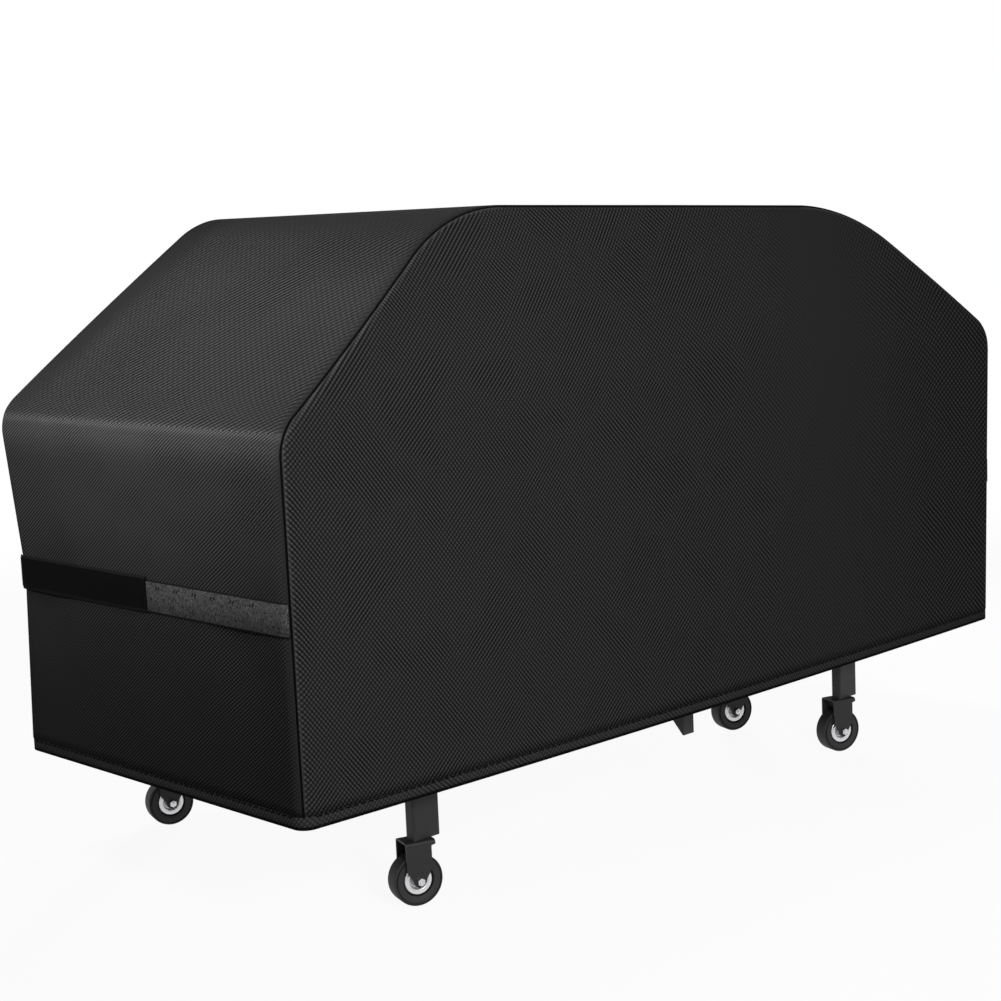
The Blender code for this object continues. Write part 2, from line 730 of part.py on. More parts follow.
def grill():
    """Grill body, griddle plate and hood, one above the other."""
    body_ends = (BODY_Z, BODY_Z + BODY_HEIGHT)
    body_rings = [centred_ring(z, BODY_WIDTH, BODY_DEPTH) for z in body_ends]
    tray("grill_body", body_rings, BODY_WALL, PAINT_FINISH, open_top=True)
    plate_ends = (PLATE_Z, PLATE_Z + PLATE_RIM)
    plate_rings = [centred_ring(z, BODY_WIDTH, BODY_DEPTH) for z in plate_ends]
    tray("griddle_plate", plate_rings, PLATE_THICKNESS, IRON_FINISH, open_top=True)
    hood_rings = [
        centred_ring(HOOD_Z, HOOD_WIDTH, HOOD_DEPTH),
        centred_ring(HOOD_SKIRT_Z, HOOD_WIDTH, HOOD_DEPTH),
        centred_ring(HOOD_TOP_Z, HOOD_TOP_WIDTH, HOOD_TOP_DEPTH),
    ]
    tray("hood", hood_rings, HOOD_WALL, PAINT_FINISH, rounding=HOOD_ROUND)


def hood_front(z):
    """How far the hood's front stands out at a height."""
    share = (z - HOOD_SKIRT_Z) / (HOOD_TOP_Z - HOOD_SKIRT_Z)
    return (HOOD_DEPTH + (HOOD_TOP_DEPTH - HOOD_DEPTH) * share) / 2


def hood_handle():
    """A bent bar across the front of the hood, its ends against the sheet."""
    z = HOOD_SKIRT_Z + HANDLE_RISE
    lean = math.atan2((HOOD_DEPTH - HOOD_TOP_DEPTH) / 2, HOOD_TOP_Z - HOOD_SKIRT_Z)
    foot = -hood_front(z) - CLEARANCE / math.cos(lean) - HANDLE_DIAMETER / 2 * math.tan(lean)
    bend = HANDLE_DIAMETER
    end = HANDLE_LENGTH / 2
    corner = (bend - end, foot - HANDLE_REACH + bend)
    left = [(-end, foot), *arc(corner, bend, math.pi, 1.5 * math.pi, FOLD_STEPS)]
    route = [(x, y, z) for x, y in left]
    route += [(-x, y, z) for x, y, z in reversed(route)]
    add_object("hood_handle", bar_along("hood_handle", route, HANDLE_DIAMETER, 2), STEEL_FINISH)


def side_shelf(side_name, side):
    """A pressed shelf at the grill's side, with the triangular brace under it."""
    top = BODY_Z + BODY_HEIGHT - SIDE_SHELF_DROP
    inner = BODY_WIDTH / 2 + CLEARANCE
    ends = sorted((side * inner, side * (inner + SIDE_SHELF_WIDTH)))
    half = SIDE_SHELF_DEPTH / 2
    rings = [box_ring(z, *ends, -half, half) for z in (top - SIDE_SHELF_HEIGHT, top)]
    tray(side_name + "_shelf", rings, SHEET, PAINT_FINISH)
    brace_top = top - SIDE_SHELF_HEIGHT - CLEARANCE
    triangle = [
        (side * inner, brace_top),
        (side * (inner + BRACE_RUN), brace_top),
        (side * inner, brace_top - BRACE_FALL),
    ]
    name = side_name + "_shelf_brace"
    brace = prism(name, triangle, BRACE_WIDTH, lambda a, b, d: (a, d - BRACE_WIDTH / 2, b))
    add_object(name, brace, PAINT_FINISH)


# Casters


def tyre_mesh():
    """A rubber tyre with rounded shoulders and a groove in each side."""
    crown = WHEEL_RADIUS / math.cos(math.pi / WHEEL_SIDES)
    bore = HUB_RADIUS + CLEARANCE
    half = TYRE_WIDTH / 2
    groove = bore + TYRE_GROOVE_RISE
    shoulder = (half - TYRE_SHOULDER, crown - TYRE_SHOULDER)
    half_profile = [
        (half, bore),
        (half, groove),
        (half - TYRE_GROOVE, groove + TYRE_GROOVE),
        (half - TYRE_GROOVE, groove + 2 * TYRE_GROOVE),
        *arc(shoulder, TYRE_SHOULDER, 0.0, FULL_TURN / 4, 2),
    ]
    return turned("tyre", mirrored(half_profile), WHEEL_SIDES)


def hub_mesh():
    """A pressed hub: rim, dished web and the boss that runs on the axle."""
    bore = AXLE_DIAMETER / 2 + CLEARANCE
    rim = HUB_RADIUS - HUB_RIM
    half_profile = [
        (HUB_BOSS_WIDTH / 2, bore),
        (HUB_BOSS_WIDTH / 2, HUB_BOSS_RADIUS - HUB_CHAMFER),
        (HUB_BOSS_WIDTH / 2 - HUB_CHAMFER, HUB_BOSS_RADIUS),
        (HUB_WEB_WIDTH / 2, HUB_BOSS_RADIUS + HUB_CHAMFER),
        (HUB_WEB_WIDTH / 2, rim - HUB_CHAMFER),
        (HUB_RIM_WIDTH / 2 - HUB_CHAMFER, rim),
        (HUB_RIM_WIDTH / 2, rim + HUB_CHAMFER),
        (HUB_RIM_WIDTH / 2, HUB_RADIUS),
    ]
    return turned("hub", mirrored(half_profile), WHEEL_SIDES)


def fork_channel(ends):
    """The fork's sheet bent into a channel that opens downward."""
    low_z = WHEEL_RADIUS - 2 * FORK_TIP_RADIUS
    half = FORK_WIDTH / 2
    section = [(-half, low_z), (-half, FORK_TOP_Z), (half, FORK_TOP_Z), (half, low_z)]
    bm = bmesh.new()
    loft(bm, [[(x, y, z) for y, z in section] for x in ends])
    folds = [
        e
        for e in bm.edges
        if all(abs(v.co.z - FORK_TOP_Z) < 1e-6 for v in e.verts)
        and abs(e.verts[0].co.y - e.verts[1].co.y) < 1e-6
    ]
    round_folds(bm, folds, FORK_BEND)
    face_outward(bm, closed_above=True)
    return sheet_from(bm, "fork_channel", FORK_SHEET)


def fork_mesh():
    """A bent-sheet fork: top plate, two plates tapered to the axle, and the stem above."""
    back = -CASTER_TRAIL - FORK_PLATE_WIDTH / 2
    channel = fork_channel((back - FORK_FRONT, 2 * FORK_FRONT))
    top = FORK_TOP_Z + 2 * FORK_SHEET
    neck_z = FORK_TOP_Z - FORK_STRAIGHT
    outline = [
        (back, top),
        (back, neck_z),
        *arc((-CASTER_TRAIL, WHEEL_RADIUS), FORK_TIP_RADIUS, -math.pi, 0.0, 2 * ARC_STEPS),
        (-CASTER_TRAIL + FORK_PLATE_WIDTH / 2, neck_z),
        (-CASTER_TRAIL + FORK_PLATE_WIDTH / 2, FORK_TOP_Z - 2 * FORK_BEND),
        (FORK_FRONT, FORK_TOP_Z - FORK_SHEET - FORK_BEND),
        (FORK_FRONT, top),
    ]
    reach = 2 * FORK_WIDTH
    trim = prism("fork_trim", outline, reach, lambda a, b, d: (a, d - reach / 2, b))
    hole = shaft("fork_hole", AXLE_DIAMETER + 2 * CLEARANCE, -FORK_WIDTH, FORK_WIDTH)
    hole.transform(Matrix.Translation((-CASTER_TRAIL, 0.0, WHEEL_RADIUS)))
    stem_low = FORK_TOP_Z - FORK_SHEET / 2
    stem_height = CASTER_HEIGHT + STEM_LENGTH - stem_low
    stem = prism(
        "stem", circle((0, 0), STEM_DIAMETER), stem_height, lambda a, b, d: (a, b, stem_low + d)
    )

    def shape(helper):
        trimmed = add_boolean(helper, trim, "INTERSECT")
        bored = add_boolean(helper, hole, "DIFFERENCE")
        return [trimmed, bored, add_boolean(helper, stem, "UNION")]

    return evaluated(channel, "fork", shape)


def hexagon():
    return circle((0, 0), BOLT_ACROSS_FLATS / math.cos(math.pi / 6), 6)


def bolt_mesh():
    """The axle: a bolt through the fork with its head on the far side."""
    face = FORK_WIDTH / 2 + CLEARANCE
    tail = -face - NUT_HEIGHT - BOLT_TAIL
    shank = shaft("bolt_shank", AXLE_DIAMETER, tail, face + BOLT_HEAD / 2)
    head = prism("bolt_head", hexagon(), BOLT_HEAD, lambda a, b, d: (a, face + d, b))
    return evaluated(shank, "axle_bolt", lambda helper: [add_boolean(helper, head, "UNION")])


def nut_mesh():
    """The nut on the axle's near end."""
    face = -FORK_WIDTH / 2 - CLEARANCE
    body = prism("nut_body", hexagon(), NUT_HEIGHT, lambda a, b, d: (a, face - d, b))
    bore = shaft("nut_bore", AXLE_DIAMETER + 2 * CLEARANCE, face - 2 * NUT_HEIGHT, face + NUT_HEIGHT)
    return evaluated(body, "axle_nut", lambda helper: [add_boolean(helper, bore, "DIFFERENCE")])


def casters():
    """Four swivel casters, each on a leg, all turned the same way."""
    fork = fork_mesh()
    on_axle = (
        ("axle_bolt", bolt_mesh(), ZINC_FINISH),
        ("axle_nut", nut_mesh(), ZINC_FINISH),
        ("tyre", tyre_mesh(), RUBBER_FINISH),
        ("hub", hub_mesh(), STEEL_FINISH),
    )
    for place, x, y in LEGS:
        swivel = add_empty(place + "_swivel", (x, y, 0.0), CASTER_SWIVEL)
        axle = add_empty(place + "_axle", (-CASTER_TRAIL, 0.0, WHEEL_RADIUS), 0.0, swivel)
        add_object(place + "_fork", fork.copy(), PAINT_FINISH, swivel)
        for name, mesh, finish in on_axle:
            add_object(place + "_" + name, mesh.copy(), finish, axle)


def main():
    for obj in list(bpy.data.objects):
        bpy.data.objects.remove(obj)
    cover_panel("front_panel", -1)
    cover_panel("back_panel", 1)
    gusset_strip()
    piping("front_piping", -1)
    piping("back_piping", 1)
    hem()
    for place, x, y in LEGS:
        leg(place + "_leg", x, y)
        socket_plug(place + "_socket_plug", x, y)
    casters()
    top_frame()
    lower_rail("lower_left_rail", LEFT_LEG_X, REAR_LEFT_LEG_Y)
    lower_rail("lower_right_rail", RIGHT_LEG_X, REAR_RIGHT_LEG_Y)
    lower_shelf()
    hanging_bracket()
    grill()
    hood_handle()
    for side_name, side in (("left", -1), ("right", 1)):
        straps(side_name, side)
        side_shelf(side_name, side)


main()
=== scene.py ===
# %% [markdown]
# # A fitted grill cover on its cart
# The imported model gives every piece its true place. This lesson dresses it: cloth, seams and
# straps for the cover, turned wheels, and a finish for each surface. Lengths are in metres.

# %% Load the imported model
import json
import math

import bmesh
import bpy
from mathutils import Matrix, Vector


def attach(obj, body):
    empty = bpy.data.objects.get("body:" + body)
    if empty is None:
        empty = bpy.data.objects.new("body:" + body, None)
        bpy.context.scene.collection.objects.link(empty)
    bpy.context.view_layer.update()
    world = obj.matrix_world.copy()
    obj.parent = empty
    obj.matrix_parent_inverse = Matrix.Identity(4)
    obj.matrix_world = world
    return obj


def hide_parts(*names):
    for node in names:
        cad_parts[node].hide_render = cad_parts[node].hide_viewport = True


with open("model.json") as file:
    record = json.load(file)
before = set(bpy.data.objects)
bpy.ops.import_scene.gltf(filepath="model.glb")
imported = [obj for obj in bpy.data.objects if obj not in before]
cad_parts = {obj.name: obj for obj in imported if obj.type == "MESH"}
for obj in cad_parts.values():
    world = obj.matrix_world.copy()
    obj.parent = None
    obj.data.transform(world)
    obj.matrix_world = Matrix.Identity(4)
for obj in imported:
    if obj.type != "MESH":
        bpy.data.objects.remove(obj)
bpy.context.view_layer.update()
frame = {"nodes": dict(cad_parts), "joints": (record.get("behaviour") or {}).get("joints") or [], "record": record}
nodes = frame["nodes"]
joints = {joint["name"]: joint for joint in frame["joints"]}

# %% [markdown]
# ## Camera
# The view was fitted to the photograph: a long lens, a little above the cover, from its left front
# corner. The picture leans slightly, and a tracking constraint can't roll a camera, so its three
# axes are worked out here and become the columns of its rotation matrix. A camera looks along its
# own -Z, so the third axis points back at the viewer.

# %% Camera
AZIMUTH, ELEVATION, ROLL = math.radians(-43.91), math.radians(7.99), math.radians(-2.52)
CAMERA_PLACE = (-2.2516, -2.2195, 0.9172)
FOCAL_LENGTH, LENS_SHIFT = 69.12, 0.001
UP = Vector((0, 0, 1))


def link(name, data):
    """A new object in the scene."""
    made = bpy.data.objects.new(name, data)
    bpy.context.scene.collection.objects.link(made)
    return made


back = Vector(
    (
        math.sin(AZIMUTH) * math.cos(ELEVATION),
        -math.cos(AZIMUTH) * math.cos(ELEVATION),
        math.sin(ELEVATION),
    )
)
level = UP.cross(back).normalized()
upright = back.cross(level)
right = level * math.cos(ROLL) + upright * math.sin(ROLL)
above = upright * math.cos(ROLL) - level * math.sin(ROLL)
lens = bpy.data.cameras.new("camera")
lens.lens = FOCAL_LENGTH
lens.shift_x = LENS_SHIFT
camera = link("camera", lens)
turn = Matrix((right, above, back)).transposed().to_4x4()
camera.matrix_world = Matrix.Translation(CAMERA_PLACE) @ turn
bpy.context.scene.camera = camera
bpy.context.scene.view_settings.view_transform = "Standard"
print("camera at", [round(c, 3) for c in camera.location], f"with a {lens.lens:.0f} mm lens")

# %% [markdown]
# ## Helpers for materials
# Colours are written as the hex codes that an image editor shows, and a shader wants linear light,
# so one function converts them. Another adds a node, sets its options and links what feeds it. The
# node editor could be used instead, but a script makes the same material again on any machine.


# %% Colour and node helpers
def srgb(code):
    """A hex colour as the linear values that a shader takes."""
    parts = [int(code[i : i + 2], 16) / 255 for i in (1, 3, 5)]
    return [c / 12.92 if c <= 0.04045 else ((c + 0.055) / 1.055) ** 2.4 for c in parts] + [1.0]


def feed(tree, node, inputs):
    """Set a node's inputs: a socket, or a node's first one, is linked, and the rest are values."""
    for name, value in inputs.items():
        source = value.outputs[0] if isinstance(value, bpy.types.Node) else value
        if isinstance(source, bpy.types.NodeSocket):
            tree.links.new(source, node.inputs[name])
        else:
            node.inputs[name].default_value = source


def add(tree, kind, inputs, stops=(), **options):
    """Add one node with its options and inputs. stops are the places and colours of a ramp."""
    node = tree.nodes.new("ShaderNode" + kind)
    for name, value in options.items():
        setattr(node, name, value)
    for i, (place, code) in enumerate(stops):
        node.color_ramp.elements[i].position = place
        node.color_ramp.elements[i].color = srgb(code)
    feed(tree, node, inputs)
    return node


def material(name):
    """A new material, with its node tree and its main shader."""
    made = bpy.data.materials.new(name)
    made.use_nodes = True
    print("finish:", name)
    return made, made.node_tree, made.node_tree.nodes["Principled BSDF"]


print("#808080 is", round(srgb("#808080")[0], 3), "in linear light")

# %% [markdown]
# ## Floor and light
# The photograph is cut out on white. A large pale floor under a white world gives that: rays from
# the camera and from shiny metal see white, and the light on the object is set apart from it. Near
# the object the floor still takes some light, so that it keeps a soft shadow, and far off it is as
# white as the world, so that no horizon shows. Large area lamps would light everything alike, and
# here the light falls off, so the lamps are soft spots. One hangs beside the left shoulder, which
# is the lightest slope of the cover, and fades down the side. A second one faces the near front
# corner. Two more, behind and above, keep the back, the right side and the top from going black.

# %% White world
AMBIENT = 0.085


def shown_rays(tree):
    """1 for rays that look at the background: from the camera, from a shine or through glass."""
    ray = add(tree, "LightPath", {})
    direct = {0: ray.outputs["Is Camera Ray"], 1: ray.outputs["Is Glossy Ray"]}
    seen = add(tree, "Math", direct, operation="MAXIMUM")
    clear = {0: seen, 1: ray.outputs["Is Transmission Ray"]}
    return add(tree, "Math", clear, operation="MAXIMUM")


world = bpy.data.worlds.new("studio")
bpy.context.scene.world = world
world.use_nodes = True
tree = world.node_tree
strength = add(tree, "MapRange", {"Value": shown_rays(tree), "To Min": AMBIENT, "To Max": 1.0})
feed(tree, tree.nodes["Background"], {"Color": srgb("#ffffff"), "Strength": strength})
print("world light on the object", AMBIENT)

# %% Pale floor
FLOOR_HALF = 30
SHADOW_REACH, WHITE_REACH, SHADOW_GLOW = 1.3, 3.6, 0.93

# Matt paint that glows: nearly plain white to the eye, with a faint shadow round the wheels.
floor_paint, tree, shader = material("pale_studio_floor")
shown = shown_rays(tree)
tint = add(tree, "ValToRGB", {"Fac": shown}, stops=((0, "#808080"), (1, "#ffffff")))
feed(tree, shader, {"Base Color": tint, "Roughness": 0.9, "Specular IOR Level": 0.0})
where = add(tree, "TexCoord", {})
reach = add(tree, "VectorMath", {0: where.outputs["Object"]}, operation="LENGTH")
fade = {"Value": reach.outputs["Value"], "From Min": SHADOW_REACH, "From Max": WHITE_REACH}
fade |= {"To Min": SHADOW_GLOW, "To Max": 1.0}
glowing = add(tree, "MapRange", fade, interpolation_type="SMOOTHSTEP")
share = add(tree, "Math", {0: shown, 1: glowing}, operation="MULTIPLY")
glow = add(tree, "Emission", {"Color": srgb("#ffffff"), "Strength": 1.0})
mixed = add(tree, "MixShader", {0: share, 1: shader, 2: glow})
feed(tree, tree.nodes["Material Output"], {"Surface": mixed})
bm = bmesh.new()
bmesh.ops.create_grid(bm, x_segments=1, y_segments=1, size=FLOOR_HALF)
floor_mesh = bpy.data.meshes.new("floor")
bm.to_mesh(floor_mesh)
bm.free()
floor_mesh.materials.append(floor_paint)
floor = link("floor", floor_mesh)

# %% Lamps
LAMP_SIZE = 0.3


def lamp(name, place, target, half_angle, power):
    """A soft spot that faces a point and fades to the edge of its cone."""
    light = bpy.data.lights.new(name, "SPOT")
    light.energy = power
    light.spot_size = 2 * math.radians(half_angle)
    light.spot_blend = 1.0
    light.shadow_soft_size = LAMP_SIZE
    made = link(name, light)
    made.location = place
    made.rotation_euler = (Vector(target) - Vector(place)).to_track_quat("-Z", "Y").to_euler()


lamp("key", (-1.95, 0.0, 1.34), (-0.76, 0.04, 1.11), 38, 103)
lamp("front", (-1.34, -2.66, 1.61), (-0.37, -0.37, 0.48), 42, 194)
lamp("rear", (2.4, 2.3, 0.8), (0.2, 0.25, 0.5), 45, 420)
lamp("top", (0.9, 0.5, 2.9), (0.45, 0.1, 0.85), 38, 110)

# %% [markdown]
# ## The cover's cut
# The cover is sewn from a front and a back panel and one long strip between them. Seen from the
# front, its outline is a hexagon with rounded corners. The front and back lean in above the
# shoulder, the corner between strip and panel is soft, and the tight straps draw the back seam
# forward. A box could be bevelled into this, but straps, seams and hem all have to lie on the same
# surface. So a few functions hold the shape, and every cloth piece below is bent onto it.

# %% Sizes of the cover
HEM_Z, SHOULDER_Z, RIGHT_SHOULDER_Z, TOP_Z = 0.170, 0.683, 0.705, 0.955
HEM_WIDTH, SHOULDER_WIDTH, HEM_DEPTH, HEM_BOW = 1.613, 1.627, 0.666, 0.0135
# By side, -1 is the front and 1 the back. Radii come in pairs, left and right.
FLARE = {-1: 0.0055, 1: 0.0135}
LEAN = {-1: 0.0535, 1: 0.056}
LEAN_POWER = 1.5
LEFT_BROW, RIGHT_BROW, CROWN = (-0.4635, 0.955), (0.4415, 0.934), (0.0, 0.9445)
SHOULDER_RADIUS = 0.070
TOP_RADII = {-1: (0.300, 0.450), 1: (0.115, 0.180)}
SIDE_EDGE_RADIUS, TOP_EDGE_RADIUS = 0.020, 0.008
FOOT_Z, STRAP_FOOT_Z, STRAP_TOP_Z = 0.1883, 0.422, 0.468
STRAP_PINCH, PINCH_REACH = 0.027, 0.250
SEAM_CORD, CLOTH, TUCK = 0.003, 0.0009, 0.7  # the cloth ends under the cord, at this share of it
print(f"cover {HEM_WIDTH} m wide, {HEM_DEPTH} m deep and {TOP_Z - HEM_Z:.3f} m high")


# %% Form of the cover
def share_of(value, low, high):
    """Where a value lies between two others, from 0 to 1."""
    return min(max((value - low) / (high - low), 0.0), 1.0)


def fall(value, start, end):
    """1 up to a start, falling to 0 at an end."""
    return share_of(-value, -end, -start)


def half_width(z):
    """Half the cover's width on its upright sides."""
    share = (z - HEM_Z) / (SHOULDER_Z - HEM_Z)
    return (HEM_WIDTH + (SHOULDER_WIDTH - HEM_WIDTH) * share) / 2


def stand(z, side):
    """How far the front (side -1) or back (side 1) stands out, leaning in above the shoulder."""
    if z <= SHOULDER_Z:
        return HEM_DEPTH / 2 + FLARE[side] * (z - HEM_Z) / (SHOULDER_Z - HEM_Z)
    share = (z - SHOULDER_Z) / (TOP_Z - SHOULDER_Z)
    return HEM_DEPTH / 2 + FLARE[side] - LEAN[side] * share**LEAN_POWER


def bow(x, z):
    """How far the front swells out between its corners, most at the hem."""
    return HEM_BOW * fall(z, HEM_Z, SHOULDER_Z) * (1.0 - (x / half_width(z)) ** 2)


def pinch(x, z):
    """How far the closed straps draw the back seam forward."""
    rise = share_of(z, FOOT_Z, STRAP_FOOT_Z) * fall(z, STRAP_TOP_Z, SHOULDER_Z)
    return STRAP_PINCH * rise * share_of(abs(x), half_width(z) - PINCH_REACH, half_width(z))


def panel_depth(x, z, side):
    """How far the front or back stands from the middle at a place."""
    return stand(z, side) + (bow(x, z) if side < 0 else -pinch(x, z))


def edge_radius(z):
    """Radius of the soft edge: wide on the sides, tight on top."""
    return SIDE_EDGE_RADIUS + (TOP_EDGE_RADIUS - SIDE_EDGE_RADIUS) * share_of(z, SHOULDER_Z, TOP_Z)


print(f"front {panel_depth(0.0, HEM_Z, -1):.3f} m out at the hem, {stand(TOP_Z, -1):.3f} m on top")

# %% Outlines of the front and the back
SIDE_STEPS, SHOULDER_STEPS, SLOPE_STEPS, BROW_STEPS, TOP_STEPS = 36, 16, 24, 24, 24
HALF = SIDE_STEPS + SHOULDER_STEPS + SLOPE_STEPS + BROW_STEPS + 1


def along(start, end, steps):
    """Points on a straight run, with its start and without its end."""
    return [Vector(start).lerp(Vector(end), i / steps) for i in range(steps)]


def fillet(before, corner, after, radius, steps):
    """Arc points that round a corner of the outline."""
    into = (Vector(before) - Vector(corner)).normalized()
    out = (Vector(after) - Vector(corner)).normalized()
    half = into.angle(out) / 2
    centre = Vector(corner) + (into + out).normalized() * (radius / math.sin(half))
    start = Vector(corner) + into * (radius / math.tan(half)) - centre
    end = Vector(corner) + out * (radius / math.tan(half)) - centre
    sweep = -start.angle_signed(end)
    turns = [Matrix.Rotation(sweep * i / steps, 2) for i in range(steps + 1)]
    return [centre + turn @ start for turn in turns]


def half_outline(end, shoulder_z, brow, top_radius):
    """One half of the hexagon as (x, z), from its foot to the start of its flat top."""
    foot = (end * half_width(FOOT_Z), FOOT_Z)
    shoulder = (end * half_width(shoulder_z), shoulder_z)
    low = fillet(foot, shoulder, brow, SHOULDER_RADIUS, SHOULDER_STEPS)
    high = fillet(shoulder, brow, CROWN, top_radius, BROW_STEPS)
    side, slope = along(foot, low[0], SIDE_STEPS), along(low[-1], high[0], SLOPE_STEPS)
    return side + low[:-1] + slope + high


def cover_outline(side):
    """A hexagon from its left foot to its right one. Each point has its inward direction."""
    left = half_outline(-1, SHOULDER_Z, LEFT_BROW, TOP_RADII[side][0])
    right = half_outline(1, RIGHT_SHOULDER_Z, RIGHT_BROW, TOP_RADII[side][1])
    top = along(left[-1], CROWN, TOP_STEPS) + along(CROWN, right[-1], TOP_STEPS)
    points = left[:-1] + top + right[::-1]
    outline = []
    for before, point, after in zip(points[:1] + points, points, points[1:] + points[-1:]):
        run = (after - before).normalized()
        outline.append((point, Vector((run.y, -run.x))))
    return outline


outlines = {side: cover_outline(side) for side in (-1, 1)}
lengths = [sum((b - a).length for (a, _), (b, _) in zip(o, o[1:])) for o in outlines.values()]
print(f"outlines of {len(outlines[1])} points, {lengths[0]:.3f} m and {lengths[1]:.3f} m long")

# %% Soft edge
CURL_STEPS = 6


def edge_point(place, inward, side, angle, sunk=0.0):
    """A point on the soft edge, from the strip (angle 0) round to the panel (a quarter turn)."""
    radius = edge_radius(place.y)
    reach = radius - sunk
    x, z = place + inward * (radius - reach * math.cos(angle))
    return Vector((x, side * (panel_depth(x, z, side) - radius + reach * math.sin(angle)), z))


def edge_curl(place, inward, side, on_strip):
    """One side of the soft edge, from the flat cloth to just under the seam's cord."""
    gap = math.asin(TUCK * SEAM_CORD / 2 / (edge_radius(place.y) - CLOTH))
    start = 0.0 if on_strip else math.pi / 2
    end = math.pi / 4 + (-gap if on_strip else gap)
    angles = [start + (end - start) * i / CURL_STEPS for i in range(CURL_STEPS + 1)]
    return [edge_point(place, inward, side, angle) for angle in angles]


print("soft edge", SIDE_EDGE_RADIUS, "m on the sides and", TOP_EDGE_RADIUS, "m on top")

# %% [markdown]
# ## Bending a flat cut
# A sewn piece starts flat, so each one here starts as a flat grid too. Its UV map keeps where each
# point lies on the drawn weave, so that the rows of yarn follow the cloth, and then the grid's
# points move to their places. A ready surface could be projected on instead, but then the weave
# would smear round the corners. Three more numbers ride on each point. One says how near it is to
# a seam, where the weave is pressed smooth. One is painted light and shade: a painted highlight at
# the shoulder fold and beside the seams, and painted shade at the seams, near the top and on the
# hem. The last is the strength of the crossing rows of yarn.

# %% Sheet from a grid
SAME_PLACE = 1e-6


def bend(rows, cut, seam=None, painted_light=None, cross=None, widths=None, wrap=False):
    """A grid bent onto rows of points. The lists go by points, and widths by bands of faces."""
    down, across = len(rows) - 1, len(rows[0]) - 1

    def spot(place):
        """The row and column of a place on the flat grid."""
        return round((place.y + 1) / 2 * down), round((place.x + 1) / 2 * across)

    bm = bmesh.new()
    flat = bm.loops.layers.uv.new("cut")
    near_seam = bm.verts.layers.float.new("seam")
    # A layer of painted light and shade, which the cloth's material reads.
    painted_light_layer = bm.verts.layers.float.new("painted_light")
    crossing = bm.verts.layers.float.new("cross")
    bmesh.ops.create_grid(bm, x_segments=across, y_segments=down, size=1.0)
    for face in bm.faces:
        corners = [spot(loop.vert.co) for loop in face.loops]
        width = widths[min(corners)[0]] if widths else 1.0
        for loop, (j, i) in zip(face.loops, corners):
            loop[flat].uv = cut[j][i][0] * width, cut[j][i][1]
    for vert in bm.verts:
        j, i = spot(vert.co)
        vert[near_seam] = seam[j][i] if seam else 0.0
        vert[painted_light_layer] = painted_light[j][i] if painted_light else 0.0
        vert[crossing] = cross[j][i] if cross else 1.0
        vert.co = rows[j][i]
    if wrap:
        bmesh.ops.remove_doubles(bm, verts=bm.verts, dist=SAME_PLACE)
    return bm


def piece(name, bm, body, slot, finish, replaced, crisp=None):
    """Turn a bmesh into a piece that rides on a body and stands for CAD nodes.

    Edges that turn by more than crisp, in degrees, stay hard.
    """
    mesh = bpy.data.meshes.new(name)
    bm.to_mesh(mesh)
    bm.free()
    mesh.shade_smooth()
    if crisp:
        mesh.set_sharp_from_angle(angle=math.radians(crisp))
    mesh.materials.append(finish)
    made = link(name, mesh)
    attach(made, body)
    if replaced:
        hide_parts(*replaced)
    print(f"{name}: {len(mesh.polygons)} faces on {body}")
    return made


def thicken(made, thickness):
    """Give a cloth piece its thickness on the inside."""
    wall = made.modifiers.new("thickness", "SOLIDIFY")
    wall.thickness = thickness
    wall.offset = -1.0
    return made


# %% [markdown]
# ## Cover cloth
# Such covers are coated polyester Oxford: a basket-like weave of black yarn, matt, with hardly any
# shine. Real threads are about 0.5 mm apart, too fine for this picture, and the photograph shows
# its rows as slanted lines about 5 mm apart, so the weave is drawn that coarse. A tiled picture of
# cloth would show its edges on so large a cover, so two waves cross here, one rising and one
# falling to the right. Where both are strong they make small diamonds, and slow patches let one of
# them win. The strip has rows of its own: the rising ones win, and the falling ones are strong low
# on the sides and weak from the straps up.

# %% Woven cloth
WAVE_PERIOD = math.pi / 10  # a wave texture of scale 1 repeats after this length
PANEL_ROWS = (48, 0.0055), (-41, 0.0049)  # slant in degrees and spacing
STRIP_ROWS = (44, 0.0049), (-43, 0.0053)
PATCH, CLOUD = 1 / 9, 1 / 4  # about 110 and 250 mm, as such patches lie in the photograph
PATCH_RANGE = (0.38, 0.62)  # the noise values between which one set of rows gives way
# The middle tone sets how much the painted highlights and painted shade change the cloth's colour.
PLAIN_TONE, PAINTED_LIGHT_TONE, CLOUD_TONE = 0.97, 0.55, 0.06
WEAVE_DEPTH = 0.0006


def yarn_rows(tree, flat, turn, spacing, strength):
    """Slanted rows of yarn: 1 on a row, and less by their strength between two of them."""
    slant = add(tree, "Mapping", {"Vector": flat, "Rotation": (0, 0, math.radians(turn))})
    lines = {"Vector": slant, "Scale": WAVE_PERIOD / spacing, "Distortion": 0.2, "Detail": 1.0}
    wave = add(tree, "TexWave", lines)
    below = add(tree, "Math", {0: wave.outputs["Fac"], 1: 1.0}, operation="SUBTRACT")
    return add(tree, "Math", {0: below, 1: strength, 2: 1.0}, operation="MULTIPLY_ADD")


